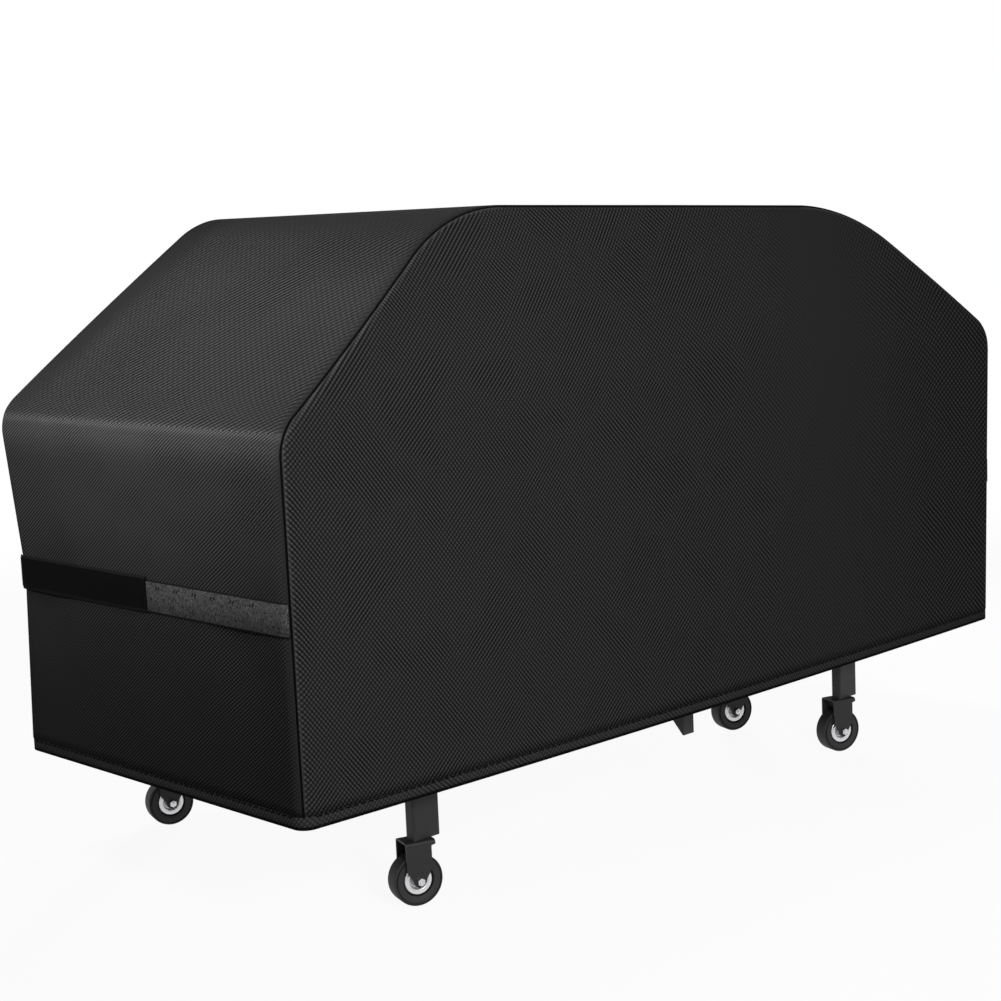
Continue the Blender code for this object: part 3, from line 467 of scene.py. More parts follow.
def woven_cloth(name, row_pair, rising_share, both, light):
    """Oxford cloth. row_pair has the turn and spacing of the rising and the falling rows.

    rising_share is the range of the rising rows' strength, and both is the sum of the two.
    """
    made, tree, shader = material(name)
    flat = add(tree, "UVMap", {}, uv_map="cut")
    marks = [add(tree, "Attribute", {}, attribute_name=n) for n in ("seam", "painted_light", "cross")]
    seam, painted_light, cross = (mark.outputs["Fac"] for mark in marks)
    patches = add(tree, "TexNoise", {"Vector": flat, "Scale": 1 / PATCH, "Detail": 1.0})
    limits = ("From Min", "From Max", "To Min", "To Max")
    reach = dict(zip(limits, PATCH_RANGE + rising_share))
    rising = add(tree, "MapRange", {"Value": patches.outputs["Fac"], **reach})
    rest = add(tree, "Math", {0: both, 1: rising}, operation="SUBTRACT")
    falling = add(tree, "Math", {0: rest, 1: cross}, operation="MULTIPLY")
    rows = [yarn_rows(tree, flat, *row, s) for row, s in zip(row_pair, (rising, falling))]
    weave = add(tree, "Math", dict(enumerate(rows)), operation="MULTIPLY")
    plain = (1.0 - sum(rising_share) / 4) * (1.0 - both / 2 + sum(rising_share) / 4)
    pressed = add(tree, "Mix", {"Factor": seam, "A": weave, "B": plain}, data_type="FLOAT")
    yarn = add(tree, "ValToRGB", {"Fac": pressed}, stops=((0, "#101010"), (1, light)))
    tone = add(tree, "TexNoise", {"Vector": flat, "Scale": 1 / CLOUD, "Detail": 1.0})
    # Painted light and shade: each point's value lightens or darkens the yarn's colour.
    painted_lighting = {0: painted_light, 1: PAINTED_LIGHT_TONE, 2: PLAIN_TONE}
    painted_tone = add(tree, "Math", painted_lighting, operation="MULTIPLY_ADD")
    clouded = {0: tone.outputs["Fac"], 1: CLOUD_TONE, 2: painted_tone}
    shade = add(tree, "Math", clouded, operation="MULTIPLY_ADD")
    colour = add(tree, "VectorMath", {0: yarn, 3: shade}, operation="SCALE")
    rough = add(tree, "MapRange", {"Value": pressed, "To Min": 0.9, "To Max": 0.75})
    bumps = add(tree, "Bump", {"Height": pressed, "Strength": 0.25, "Distance": WEAVE_DEPTH})
    feed(tree, shader, {"Base Color": colour, "Roughness": rough, "Normal": bumps})
    feed(tree, shader, {"Specular IOR Level": 0.012})
    return made


# The panels show the eye dark diamonds that turn to slanted lines and back from patch to patch.
panel_cloth = woven_cloth("coated_oxford_cloth", PANEL_ROWS, (0.55, 1.0), 1.55, "#545454")
# The strip shows it mostly one set of lines, with diamonds low on the sides.
strip_cloth = woven_cloth("coated_oxford_strip", STRIP_ROWS, (0.85, 1.0), 1.37, "#4e4e4e")

# %% [markdown]
# ## Strip, front and back
# The strip runs up the left side, over both shoulders and the top, and down the right side. The
# front and back are cut to the outline. On the real cover they are one skin, so each piece takes
# its soft edge up to the seam, and the cloth hollows a little between what carries it. A cloth
# simulation could drape them, but a fitted cover is taut and hardly moves, so the hollows are
# given.

# %% Soft unevenness
HANG_Z, HANG_REACH = 0.43, 0.16
SIDE_X, SIDE_SAG, SAG_Y, SAG_REACH = 0.79, 0.006, 0.235, 0.055
PANEL_SAG, PANEL_WAVES = 0.0015, ((7.0, 0.6, 0.5), (12.5, 0.0, 0.25))  # rate, start, share


def hump(value, centre, width):
    """A smooth bump of height one."""
    return math.exp(-(((value - centre) / width) ** 2))


def hollow(x, y, z):
    """How far the hanging cloth falls in, in metres, on the sides, the front and the back."""
    hanging = hump(z, HANG_Z, HANG_REACH)
    if abs(x) > SIDE_X:
        return SIDE_SAG * hump(abs(y), SAG_Y, SAG_REACH) * hanging
    waves = [math.sin(rate * x + start) * share for rate, start, share in PANEL_WAVES]
    return PANEL_SAG * hanging * sum(waves)


def near(point, ends, reach):
    """1 at either end of a row, falling to 0 within a reach of it."""
    return max(0.0, 1.0 - min((point - end).length for end in ends) / reach)


print(f"the sides fall in by up to {hollow(half_width(HANG_Z), SAG_Y, HANG_Z) * 1000:.1f} mm")

# %% Smooth places of the strip, and its painted light and shade
SMOOTH_BAND, FOLD_DROP = 0.014, 0.006
REAR_BAND, REAR_BAND_Z = (0.04, 0.09), 0.75
LOW_PRESS, LOW_PRESS_Z, LOW_PRESS_Y = 0.6, (0.40, 0.44), (0.28, 0.12)
BROW_PRESS, BROW_PRESS_Z = 0.85, (0.905, 0.945)
# CREASE and SHEEN paint a highlight at the shoulder fold, the SHADE values paint shade.
CREASE, CREASE_REACH, CREASE_X = 1.5, 0.005, 0.7
SHEEN, SHEEN_REACH, SHEEN_DROP = 0.9, 0.022, 0.016
TOP_SHADE, TOP_SHADE_Z = 0.6, (0.84, 0.95)
SEAM_SHADE, REAR_SHADE = 0.4, 0.3


def fold_height(x):
    """The height of the shoulder fold on the left or the right."""
    return (SHOULDER_Z if x < 0 else RIGHT_SHOULDER_Z) - FOLD_DROP


def rear_band(row, z):
    """The smooth band at the back of the slope: 1 near the back seam, 0 further forward."""
    sloped = share_of(z, SHOULDER_Z, REAR_BAND_Z)
    return [sloped * fall((p - row[0]).length, *REAR_BAND) for p in row]


def smooth_row(row, z, rear):
    """Where the weave is pressed: at the seams, low on the left, at the back and near the top."""
    low = LOW_PRESS * fall(row[0].z, *LOW_PRESS_Z) if row[0].x < 0 else 0.0
    brow = BROW_PRESS * share_of(z, *BROW_PRESS_Z)
    ends = (row[0], row[-1])
    at_seam = [max(near(p, ends, SMOOTH_BAND), low * hump(p.y, *LOW_PRESS_Y)) for p in row]
    return [max(*pair, brow) for pair in zip(at_seam, rear)]


def painted_light_row(row, x, z, rear):
    """Painted light on a row: a highlight at the shoulder fold, shade at seams, top and back."""
    fold_z = fold_height(x)
    crease = CREASE * hump(z, fold_z, CREASE_REACH)
    crease += SHEEN * hump(z, fold_z - SHEEN_DROP, SHEEN_REACH)
    lit = (crease if abs(x) > CREASE_X else 0.0) - TOP_SHADE * share_of(z, *TOP_SHADE_Z)
    ends = (row[0], row[-1])
    shaded = [lit - SEAM_SHADE * near(p, ends, SMOOTH_BAND) for p in row]
    return [value - REAR_SHADE * r for value, r in zip(shaded, rear)]


print(f"folds at {fold_height(-1):.3f} m on the left and {fold_height(1):.3f} m on the right")

# %% Gusset strip
COLUMNS = 44
# How fine the weave is drawn, across and along, and how strong its crossing rows are.
SIDE_SCALE, SLOPE_SCALE, SLOPE_START = (0.93, 1.35), (0.585, 0.66), 0.05
CROSS_LOW, CROSS_HIGH, CROSS_Z = 1.7, 0.5, (0.40, 0.52)

rows, cut, seam, painted_light, cross, widths = [], [], [], [], [], []
length = drawn = 0.0
for front_place, back_place in zip(outlines[-1], outlines[1]):
    (x, z), (in_x, in_z) = front_place
    front = edge_curl(*front_place, -1, True)
    rear = edge_curl(*back_place, 1, True)
    flat_run = [rear[0].lerp(front[0], i / COLUMNS) for i in range(1, COLUMNS)]
    if z < SHOULDER_Z - SHOULDER_RADIUS:
        flat_run = [p + Vector((in_x, 0, in_z)) * hollow(p.x, p.y, p.z) for p in flat_run]
    row = rear[::-1] + flat_run + front
    sloped = share_of(z, fold_height(x), fold_height(x) + SLOPE_START)
    widths.append(SLOPE_SCALE[0] if sloped else SIDE_SCALE[0])
    if rows:
        step = (row[len(row) // 2] - rows[-1][len(row) // 2]).length
        length += step
        drawn += step * (SIDE_SCALE[1] + (SLOPE_SCALE[1] - SIDE_SCALE[1]) * sloped)
    rows.append(row)
    cut.append([(-p.y, drawn) for p in row])
    cross.append([CROSS_LOW + (CROSS_HIGH - CROSS_LOW) * share_of(z, *CROSS_Z)] * len(row))
    smooth = rear_band(row, z)
    seam.append(smooth_row(row, z, smooth))
    painted_light.append(painted_light_row(row, x, z, smooth))
bm = bend(rows, cut, seam, painted_light, cross, widths)
strip = piece("cover_strip", bm, "cover", "cover_cloth", strip_cloth, ["gusset_strip"])
thicken(strip, CLOTH)
print(f"strip {length:.3f} m long")

# %% Front and back panels
PANEL_COLUMNS, EDGE_COLUMNS = 120, (2, 10)
# SEAM_SHEEN paints a thin highlight on the panel's edge beside the seam.
SEAM_BAND, SEAM_SHEEN, SEAM_SHEEN_BAND = 0.004, 1.8, 0.0045
FLAT_X, FLAT_LOW, FLAT_MORE, FLAT_Z = (0.33, 0.17), 0.5, 0.42, (0.25, 0.65)
FAR_X, ROW_WIDTH, FAR_WIDEN, FAR_RAISE = (-0.4, 0.64), 1.04, 0.21, 0.25


def flattened(x, z, side):
    """How far the weave is pressed flat on the right of the front, most on its upper part."""
    if side > 0:
        return 0.0
    return hump(x, *FLAT_X) * (FLAT_LOW + FLAT_MORE * share_of(z, *FLAT_Z))


def drawn_place(point):
    """Where a point lies on the drawn weave. The far end is seen flat, so its rows are wider."""
    far = max(0.0, point.x - FAR_X[0])
    wide = ROW_WIDTH * point.x - FAR_WIDEN * far * far
    return wide, point.z * (1.0 - FAR_RAISE * share_of(point.x, *FAR_X))


def drawn_cut(rows):
    """The drawn weave's places for rows of points."""
    return [[drawn_place(p) for p in row] for row in rows]


def panel(name, side, node):
    """The front or back panel, with its edge curled round to the seam."""
    rows, seam, painted_light = [], [], []
    for k in range(HALF):
        left = edge_curl(*outlines[side][k], side, False)
        right = edge_curl(*outlines[side][-1 - k], side, False)
        middle = []
        for i in range(1, PANEL_COLUMNS):
            p = left[0].lerp(right[0], i / PANEL_COLUMNS)
            from_edge = share_of(min(i, PANEL_COLUMNS - i), *EDGE_COLUMNS)
            depth = panel_depth(p.x, p.z, side) - hollow(p.x, 0.0, p.z) * from_edge
            middle.append(Vector((p.x, side * depth, p.z)))
        row = left[::-1] + middle + right
        ends = (left[-1], right[-1])
        rows.append(row)
        seam.append([max(near(p, ends, SEAM_BAND), flattened(p.x, p.z, side)) for p in row])
        painted_light.append([SEAM_SHEEN * near(p, ends, SEAM_SHEEN_BAND) for p in row])
    bm = bend(rows, drawn_cut(rows), seam, painted_light)

    # The last row is the top edge. Its curl joins the two curls of the ends.
    top, rim = [], []
    for a, b in zip(left, right):
        top.append([a.lerp(b, i / PANEL_COLUMNS) for i in range(PANEL_COLUMNS + 1)])
    for row in top:
        at_seam = [near(p, (end,), SEAM_BAND) for p, end in zip(row, top[-1])]
        rim.append([max(s, flattened(p.x, p.z, side)) for p, s in zip(row, at_seam)])
    patch = bend(top, drawn_cut(top), rim)
    joined = bpy.data.meshes.new(name + "_top")
    patch.to_mesh(joined)
    patch.free()
    bm.from_mesh(joined)
    bpy.data.meshes.remove(joined)
    bmesh.ops.remove_doubles(bm, verts=bm.verts, dist=SAME_PLACE)
    if side > 0:
        bmesh.ops.reverse_faces(bm, faces=bm.faces)
    made = thicken(piece(name, bm, "cover", "cover_cloth", panel_cloth, [node]), CLOTH)


panel("cover_front", -1, "front_panel")
panel("cover_back", 1, "back_panel")

# %% [markdown]
# ## Seams
# A thin black cord fills the seam between strip and panel. A curve with a round bevel would give
# such a tube too, but the hem and the straps need flat profiles. So one function carries any
# profile along a path: each row of its grid is a ring of points.

# %% Tube along a path
RING_SIDES = 12


def rounded(centre, radius, start, end, count):
    """Arc points of a profile, with angles in degrees."""
    angles = [math.radians(start + (end - start) * i / count) for i in range(count + 1)]
    return [(centre[0] + radius * math.cos(t), centre[1] + radius * math.sin(t)) for t in angles]


def sweep(path, frames, profile, press=0.0, dark=None):
    """A profile of (out, up) points carried along a path. frames has both directions by point."""
    run = [0.0]
    for a, b in zip(profile, profile[1:]):
        run.append(run[-1] + math.dist(a, b))
    rows, cut = [], []
    length = 0.0
    for k, (point, (out, up)) in enumerate(zip(path, frames)):
        length += (point - path[k - 1]).length if k else 0.0
        rows.append([point + out * a + up * b for a, b in profile])
        cut.append([(length, d) for d in run])
    # dark is painted light and shade, one value for each point of the profile.
    painted_light = [dark or [0.0] * len(profile)] * len(rows)
    return bend(rows, cut, [[press] * len(profile)] * len(rows), painted_light, wrap=True)


def close_ends(bm):
    """Fill the open ends of a tube, with all its faces turned outward."""
    bmesh.ops.holes_fill(bm, edges=[e for e in bm.edges if e.is_boundary])
    bmesh.ops.recalc_face_normals(bm, faces=bm.faces)


# %% Black seam thread
FUZZ = 1 / 900  # about 1.1 mm: real fuzz is finer and wouldn't show

# Dull black fuzz that gives back no light. The cord's near-black is partly painted shade of the seam's furrow, so
# a seam is a thin dark line to the eye.
seam_cord_black_and_shade, tree, shader = material("black_seam_cord_and_painted_shade")
where = add(tree, "TexCoord", {}).outputs["Object"]
fuzz = add(tree, "TexNoise", {"Vector": where, "Scale": 1 / FUZZ, "Detail": 2.0}).outputs["Fac"]
tint = add(tree, "ValToRGB", {"Fac": fuzz}, stops=((0, "#020202"), (1, "#101010")))
feed(tree, shader, {"Base Color": tint, "Roughness": 0.8, "Specular IOR Level": 0.02})

# %% Seam cords
CORD_SUNK = 0.0005

for name, side, node in (("front_seam", -1, "front_piping"), ("back_seam", 1, "back_piping")):
    path = [edge_point(*place, side, math.pi / 4, CORD_SUNK) for place in outlines[side]]
    frames = []
    for _, inward in outlines[side]:
        out = Vector((-inward.x, side, -inward.y)).normalized()
        across = Vector((-inward.x, -side, -inward.y)).normalized()
        frames.append((out, across))
    bm = sweep(path, frames, rounded((0.0, 0.0), SEAM_CORD / 2, 0, 360, RING_SIDES))
    close_ends(bm)
    piece(name, bm, "cover", "seam_piping", seam_cord_black_and_shade, [node])

# %% [markdown]
# ## Hem
# The mouth of the cover is folded inward and sewn down. The band is a strip of cloth folded along
# its middle, so its profile goes down outside, round the lower edge and up inside. It is carried
# round the mouth, and a row of single stitches lies in its upper part. A drawn line would be
# simpler, but real stitches stand up from the cloth and show in the exported mesh.

# %% Hem band
CORNER_STEPS, FOLD_STEPS, HEM_STEP = 8, 8, 0.02
HEM_FOLD, HEM_TOP, HEM_SHADE_Z = 0.0034, 0.0180, (0.006, 0.004)  # heights over the lower edge
# HEM_LIGHT paints the band's top a little lighter, HEM_DARK paints shade round its lower fold.
HEM_PRESS, HEM_LIGHT, HEM_DARK = 0.35, 0.15, -1.5  # flatness of the weave, tone above and below


def mouth(step):
    """Points round the mouth with their outward directions, from the right back corner on."""
    radius = SIDE_EDGE_RADIUS
    path = []
    for sx, sy, start in ((1, 1, 0), (-1, 1, 90), (-1, -1, 180), (1, -1, 270)):
        centre = Vector((sx * (HEM_WIDTH / 2 - radius), sy * (HEM_DEPTH / 2 - radius), 0))
        for i in range(CORNER_STEPS + 1):
            t = math.radians(start + 90 * i / CORNER_STEPS)
            out = Vector((math.cos(t), math.sin(t), 0))
            path.append((centre + out * radius, out))
    dense = []
    for (a, out_a), (b, out_b) in zip(path, path[1:] + path[:1]):
        count = max(1, round((b - a).length / step))
        for i in range(count):
            p = a.lerp(b, i / count)
            p.y -= bow(p.x, HEM_Z) if p.y < 0 else 0.0
            dense.append((p, out_a.lerp(out_b, i / count).normalized()))
    return dense + dense[:1]


outside = [(0.0, z) for z in (HEM_TOP, *HEM_SHADE_Z)]
lower = rounded((-HEM_FOLD / 2, HEM_FOLD / 2), HEM_FOLD / 2, 0, -180, FOLD_STEPS)
inside = [(-HEM_FOLD, HEM_TOP * 0.6), (-HEM_FOLD, HEM_TOP)]
profile = outside + lower + inside
shadow = [HEM_LIGHT] * 2 + [HEM_DARK] * (len(profile) - 2)
around = mouth(HEM_STEP)
path = [p + UP * HEM_Z for p, _ in around]
bm = sweep(path, [(out, UP) for _, out in around], profile, HEM_PRESS, shadow)
hem = thicken(piece("cover_hem", bm, "cover", "cover_cloth", panel_cloth, ["hem"]), CLOTH)

# %% Hem stitches
STITCH_PITCH, SHORTEST_STEP, STITCH_Z = 0.012, 0.008, 0.0166
STITCH_SIDES, STITCH_RINGS, HEM_STITCH = 6, 4, (0.0118, 0.0020)
PLY = 0.0012  # the twist of the thread, drawn coarser than the real 0.4 mm so that it shows

# Deep black thread, a little blacker than the cloth, so the eye finds the row of stitches.
stitch_black, tree, shader = material("black_polyester_thread")
where = add(tree, "TexCoord", {}).outputs["Object"]
ply = add(tree, "TexWave", {"Vector": where, "Scale": WAVE_PERIOD / PLY, "Distortion": 1.0})
tint = add(tree, "ValToRGB", {"Fac": ply.outputs["Fac"]}, stops=((0, "#010101"), (1, "#060606")))
feed(tree, shader, {"Base Color": tint, "Roughness": 0.7, "Specular IOR Level": 0.02})


def stitches(name, places, long, thick, body, slot):
    """One piece of many short stitches. A place has its middle, its run and its outward side."""
    bm = bmesh.new()
    for middle, run, out in places:
        side = run.cross(out).normalized()
        turn = Matrix((run * long / 2, side * thick / 2, out * thick / 2)).transposed().to_4x4()
        at = Matrix.Translation(middle) @ turn
        bmesh.ops.create_uvsphere(
            bm,
            u_segments=STITCH_SIDES,
            v_segments=STITCH_RINGS,
            radius=1.0,
            matrix=at,
        )
    bmesh.ops.recalc_face_normals(bm, faces=bm.faces)
    return piece(name, bm, body, slot, stitch_black, [])


places = []
around = mouth(STITCH_PITCH)
for (a, out), (b, _) in zip(around, around[1:]):
    if (b - a).length > SHORTEST_STEP:
        places.append(((a + b) / 2 + UP * (HEM_Z + STITCH_Z), (b - a).normalized(), out))
stitches("hem_stitches", places, *HEM_STITCH, "cover", "seam_piping")

# %% [markdown]
# ## Straps
# Each side has a strap of black hook tape from the back seam, pressed on a strap of grey loop tape
# from the front seam. A tape is a thin band on a slightly wider binding, and it follows the side
# of the cover and bends round the soft edge to its seam. A flat plane would cut into that edge, so
# each tape is a band carried along its route, like the seam's cord.

# %% Hook and loop tapes
HOOK_RIB, BINDING_RIB = 0.0016, 0.0012  # a little coarser than real ribs, so that they show
CURL, PILE = 1 / 130, 1 / 700  # about 8 and 1.4 mm: tufts of loops, since single ones don't show

# Fine dark ribs with almost no shine: the darkest patch on the side of the cover.
hook_tape, tree, shader = material("woven_nylon_hook_tape")
where = add(tree, "TexCoord", {}).outputs["Object"]
lines = {"Vector": where, "Scale": WAVE_PERIOD / HOOK_RIB, "Distortion": 0.5}
rib = add(tree, "TexWave", lines, bands_direction="Z").outputs["Fac"]
tint = add(tree, "ValToRGB", {"Fac": rib}, stops=((0, "#070707"), (1, "#0f0f0f")))
bumps = add(tree, "Bump", {"Height": rib, "Strength": 0.15, "Distance": 0.0002})
feed(tree, shader, {"Base Color": tint, "Roughness": 0.7, "Normal": bumps})
feed(tree, shader, {"Specular IOR Level": 0.012})

# Felted loops: a soft mottled grey, the lightest patch on the side.
loop_tape, tree, shader = material("brushed_nylon_loop_tape")
where = add(tree, "TexCoord", {}).outputs["Object"]
tufts = {"Vector": where, "Scale": 1 / CURL, "Detail": 1.0, "Distortion": 3.0}
curls = add(tree, "TexNoise", tufts).outputs["Fac"]
pile = add(tree, "TexNoise", {"Vector": where, "Scale": 1 / PILE, "Detail": 2.0}).outputs["Fac"]
felt = add(tree, "Math", {0: pile, 1: 0.25, 2: curls}, operation="MULTIPLY_ADD")
tint = add(tree, "ValToRGB", {"Fac": felt}, stops=((0.42, "#303030"), (0.85, "#666666")))
bumps = add(tree, "Bump", {"Height": felt, "Strength": 0.5, "Distance": 0.0012})
feed(tree, shader, {"Base Color": tint, "Roughness": 0.95, "Normal": bumps})
feed(tree, shader, {"Specular IOR Level": 0.01})

# Ribbed tape between the two in tone, which shows as a thin edge round each strap.
binding, tree, shader = material("grosgrain_binding")
where = add(tree, "TexCoord", {}).outputs["Object"]
lines = {"Vector": where, "Scale": WAVE_PERIOD / BINDING_RIB}
rib = add(tree, "TexWave", lines, bands_direction="Y").outputs["Fac"]
tint = add(tree, "ValToRGB", {"Fac": rib}, stops=((0, "#191919"), (1, "#262626")))
feed(tree, shader, {"Base Color": tint, "Roughness": 0.75, "Specular IOR Level": 0.012})

# %% Straps of both sides
LOOP_Z, HOOK_Z, MEET_Y, OVERLAP = 0.445, 0.4475, -0.024, 0.110
LOOP_LIFT, HOOK_LIFT = 0.0003, 0.0026
LOOP_LAYERS, HOOK_LAYERS = (0.0, 0.0009, 0.0020), (0.0, 0.0010, 0.0018)  # binding, then tape
LOOP_WIDTHS, HOOK_WIDTHS = (0.046, 0.041), (0.051, 0.043)
SEWN_TURN = {-1: 39.0, 1: 37.0}
RUN_STEPS, TURN_STEPS, LIP_ROUND = 24, 8, 0.3


def strap_path(side, seam_side, start, lift, mid_z):
    """A strap's route from its free end round the soft edge, with its outward directions."""
    radius = edge_radius(STRAP_TOP_Z)
    out = half_width(STRAP_TOP_Z)
    reach = panel_depth(out, STRAP_TOP_Z, seam_side) - radius
    path, frames = [], []
    for i in range(RUN_STEPS + 1):
        y = start + (seam_side * reach - start) * i / RUN_STEPS
        path.append(Vector((side * (out + lift), y, mid_z)))
        frames.append((Vector((side, 0, 0)), UP))
    centre = Vector((side * (out - radius), seam_side * reach, mid_z))
    for i in range(1, TURN_STEPS + 1):
        t = math.radians(SEWN_TURN[seam_side]) * i / TURN_STEPS
        way = Vector((side * math.cos(t), seam_side * math.sin(t), 0))
        path.append(centre + way * (radius + lift))
        frames.append((way, UP))
    return path, frames


def band(width, low, high):
    """A flat closed profile with rounded edges, from one height over the cover to another."""
    half, lip = width / 2, (high - low) / 2
    return [
        (low, -half + lip),
        (low + lip * LIP_ROUND, -half + lip * LIP_ROUND),
        (low + lip, -half),
        (high, -half + lip),
        (high, half - lip),
        (low + lip, half),
        (low + lip * LIP_ROUND, half - lip * LIP_ROUND),
        (low, half - lip),
        (low, -half + lip),
    ]


def tape(name, route, width, layer, body, slot, finish, replaced):
    """One tape of a strap, closed at both ends. layer has its lower and upper height."""
    bm = sweep(*strap_path(*route), band(width, *layer))
    close_ends(bm)
    return piece(name, bm, body, slot, finish, replaced, crisp=50)


def strap(name, route, widths, layers, body, slot, face_finish, replaced):
    """A binding and the tape on it."""
    on = (body, slot)
    back = tape(name + "_binding", route, widths[0], layers[:2], *on, binding, replaced)
    return back, tape(name + "_tape", route, widths[1], layers[1:], *on, face_finish, [])


for name, side in (("left", -1), ("right", 1)):
    route = (side, -1, MEET_Y + OVERLAP, LOOP_LIFT, LOOP_Z)
    loop = (LOOP_WIDTHS, LOOP_LAYERS, "cover", "loop_tape", loop_tape)
    back, face = strap(name + "_loop", route, *loop, [name + "_loop_strap"])
    route = (side, 1, MEET_Y, HOOK_LIFT, HOOK_Z)
    hook = (HOOK_WIDTHS, HOOK_LAYERS, name + "_strap", "hook_tape", hook_tape)
    back, face = strap(name + "_hook", route, *hook, [name + "_hook_strap"])

# %% Stitches on the loop tapes
PAIRS, PAIR_START, PAIR_PITCH, PAIR_GAP = 6, 0.030, 0.042, 0.006
THREAD_LIFT, THREAD_RISE, THREAD_RUN = 0.0028, 0.013, Vector((0, -0.5, 0.87))
LOOP_STITCH = (0.007, 0.0016)

for name, side in (("left", -1), ("right", 1)):
    x = side * (half_width(LOOP_Z) + THREAD_LIFT)
    places = []
    for k in range(PAIRS):
        for shift in (0.0, PAIR_GAP):
            y = MEET_Y - PAIR_START - PAIR_PITCH * k + shift
            middle = Vector((x, y, LOOP_Z + THREAD_RISE))
            places.append((middle, THREAD_RUN, Vector((side, 0, 0))))
    stitches(name + "_loop_stitches", places, *LOOP_STITCH, "cover", "loop_tape")

# %% [markdown]
# ## Casters
# A swivel caster is a bent-sheet fork, a rubber tyre on a pressed hub, and a bolt for an axle. All
# four are alike, so each shape has one function, and a loop places what it makes at the joints of
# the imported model. A wheel is turned, so it is a half profile spun about the axle: a cylinder with
# cut grooves would need booleans for the same form. The fork is drawn as a sheet with bends and
# then given its thickness, as a press makes it.

# %% Wheel shapes
WHEEL_RADIUS, TYRE_WIDTH, HUB_RADIUS = 0.0365, 0.026, 0.0205
WHEEL_SIDES = 96


def spun(half):
    """A half profile of (along, radius) points and its mirror image, spun about Y."""
    profile = half + [(-y, r) for y, r in reversed(half)]
    bm = bmesh.new()
    verts = [bm.verts.new((r, y, 0.0)) for y, r in profile]
    edges = [bm.edges.new(pair) for pair in zip(verts, verts[1:] + verts[:1])]
    bmesh.ops.spin(
        bm,
        geom=verts + edges,
        cent=(0, 0, 0),
        axis=(0, 1, 0),
        angle=2 * math.pi,
        steps=WHEEL_SIDES,
        use_merge=True,
    )
    bmesh.ops.remove_doubles(bm, verts=bm.verts, dist=SAME_PLACE / 10)
    bmesh.ops.recalc_face_normals(bm, faces=bm.faces)
    return bm


face = TYRE_WIDTH / 2
tyre_half = [
    # recess round the hub
    (face - 0.0060, HUB_RADIUS + 0.0003),
    (face - 0.0060, HUB_RADIUS + 0.0018),
    (face - 0.0006, HUB_RADIUS + 0.0024),
    # flat side
    (face, HUB_RADIUS + 0.0034),
    (face, WHEEL_RADIUS - 0.0050),
    # groove below the tread
    (face - 0.0024, WHEEL_RADIUS - 0.0044),
    (face - 0.0024, WHEEL_RADIUS - 0.0028),
    (face - 0.0008, WHEEL_RADIUS - 0.0020),
    # edge of the tread
    *rounded((face - 0.0022, WHEEL_RADIUS - 0.0014), 0.0014, 0, 90, 6),
]
hub_half = [
    # boss round the axle
    (0.0150, 0.0033),
    (0.0150, 0.0066),
    *rounded((0.0140, 0.0066), 0.0010, 0, 90, 4),
    # dish
    (0.0060, 0.0086),
    (0.0042, 0.0100),
    (0.0042, 0.0112),
    (0.0060, 0.0122),
    # bright rim
    (0.0105, 0.0130),
    *rounded((0.0105, 0.0144), 0.0014, -60, 60, 5),
    (0.0114, 0.0196),
    (0.0106, 0.0205),
]
print(len(tyre_half), "and", len(hub_half), "profile points")

# %% Fork shape
FORK_TOP, FORK_WIDTH, FORK_SHEET, TRAIL = 0.0927, 0.0365, 0.0025, 0.015
PLATE_HALF, NECK_DROP, TIP_RADIUS, TIP_STEPS = 0.019, 0.040, 0.009, 16
NOSE_X, NOSE_DROP, NOTCH_DROP = 0.010, 0.008, 0.0065
BEND_RADIUS, BEND_STEPS = 0.004, 6
AXLE_HOLE, HOLE_SIDES, STEM, STEM_TOP, ROD_SIDES = 0.0066, 24, 0.010, 0.119, 32


def plate_outline():
    """One side plate of the fork as (x, z): tapered to the axle, with a notch at its nose."""
    back_x, front_x, neck_z = -TRAIL - PLATE_HALF, -TRAIL + PLATE_HALF, FORK_TOP - NECK_DROP
    tip = rounded((-TRAIL, WHEEL_RADIUS), TIP_RADIUS, 180, 360, TIP_STEPS)
    nose = [(front_x, neck_z), (front_x, FORK_TOP - NOSE_DROP)]
    notch = [(NOSE_X, FORK_TOP - NOTCH_DROP), (NOSE_X, FORK_TOP)]
    return [(back_x, FORK_TOP), (back_x, neck_z), *tip, *nose, *notch]


def same_y(edge):
    """Whether both ends of an edge have the same Y."""
    return abs(edge.verts[0].co.y - edge.verts[1].co.y) < SAME_PLACE


def cut_axle_hole(bm, y):
    """Cut the axle's hole in the plate that lies at y."""
    last = 360 - 360 / HOLE_SIDES
    circle = rounded((-TRAIL, WHEEL_RADIUS), AXLE_HOLE / 2, 0, last, HOLE_SIDES - 1)
    verts = [bm.verts.new((x, y, z)) for x, z in circle]
    hole = [bm.edges.new(pair) for pair in zip(verts, verts[1:] + verts[:1])]
    wall = [f for f in bm.faces if all(abs(v.co.y - y) < SAME_PLACE for v in f.verts)]
    rim = list(wall[0].edges)
    bmesh.ops.delete(bm, geom=wall, context="FACES_ONLY")
    bmesh.ops.triangle_fill(bm, use_beauty=True, edges=rim + hole)


def add_bar(bm, sides, radius, length, at):
    """Add a round or hexagon bar and return its vertices."""
    made = bmesh.ops.create_cone(
        bm,
        cap_ends=True,
        segments=sides,
        radius1=radius,
        radius2=radius,
        depth=length,
        matrix=at,
    )
    return made["verts"]


def soften(bm, edges, offset, steps):
    """Round some edges."""
    bmesh.ops.bevel(
        bm,
        geom=edges,
        offset=offset,
        segments=steps,
        profile=0.5,
        affect="EDGES",
        material=-1,
    )


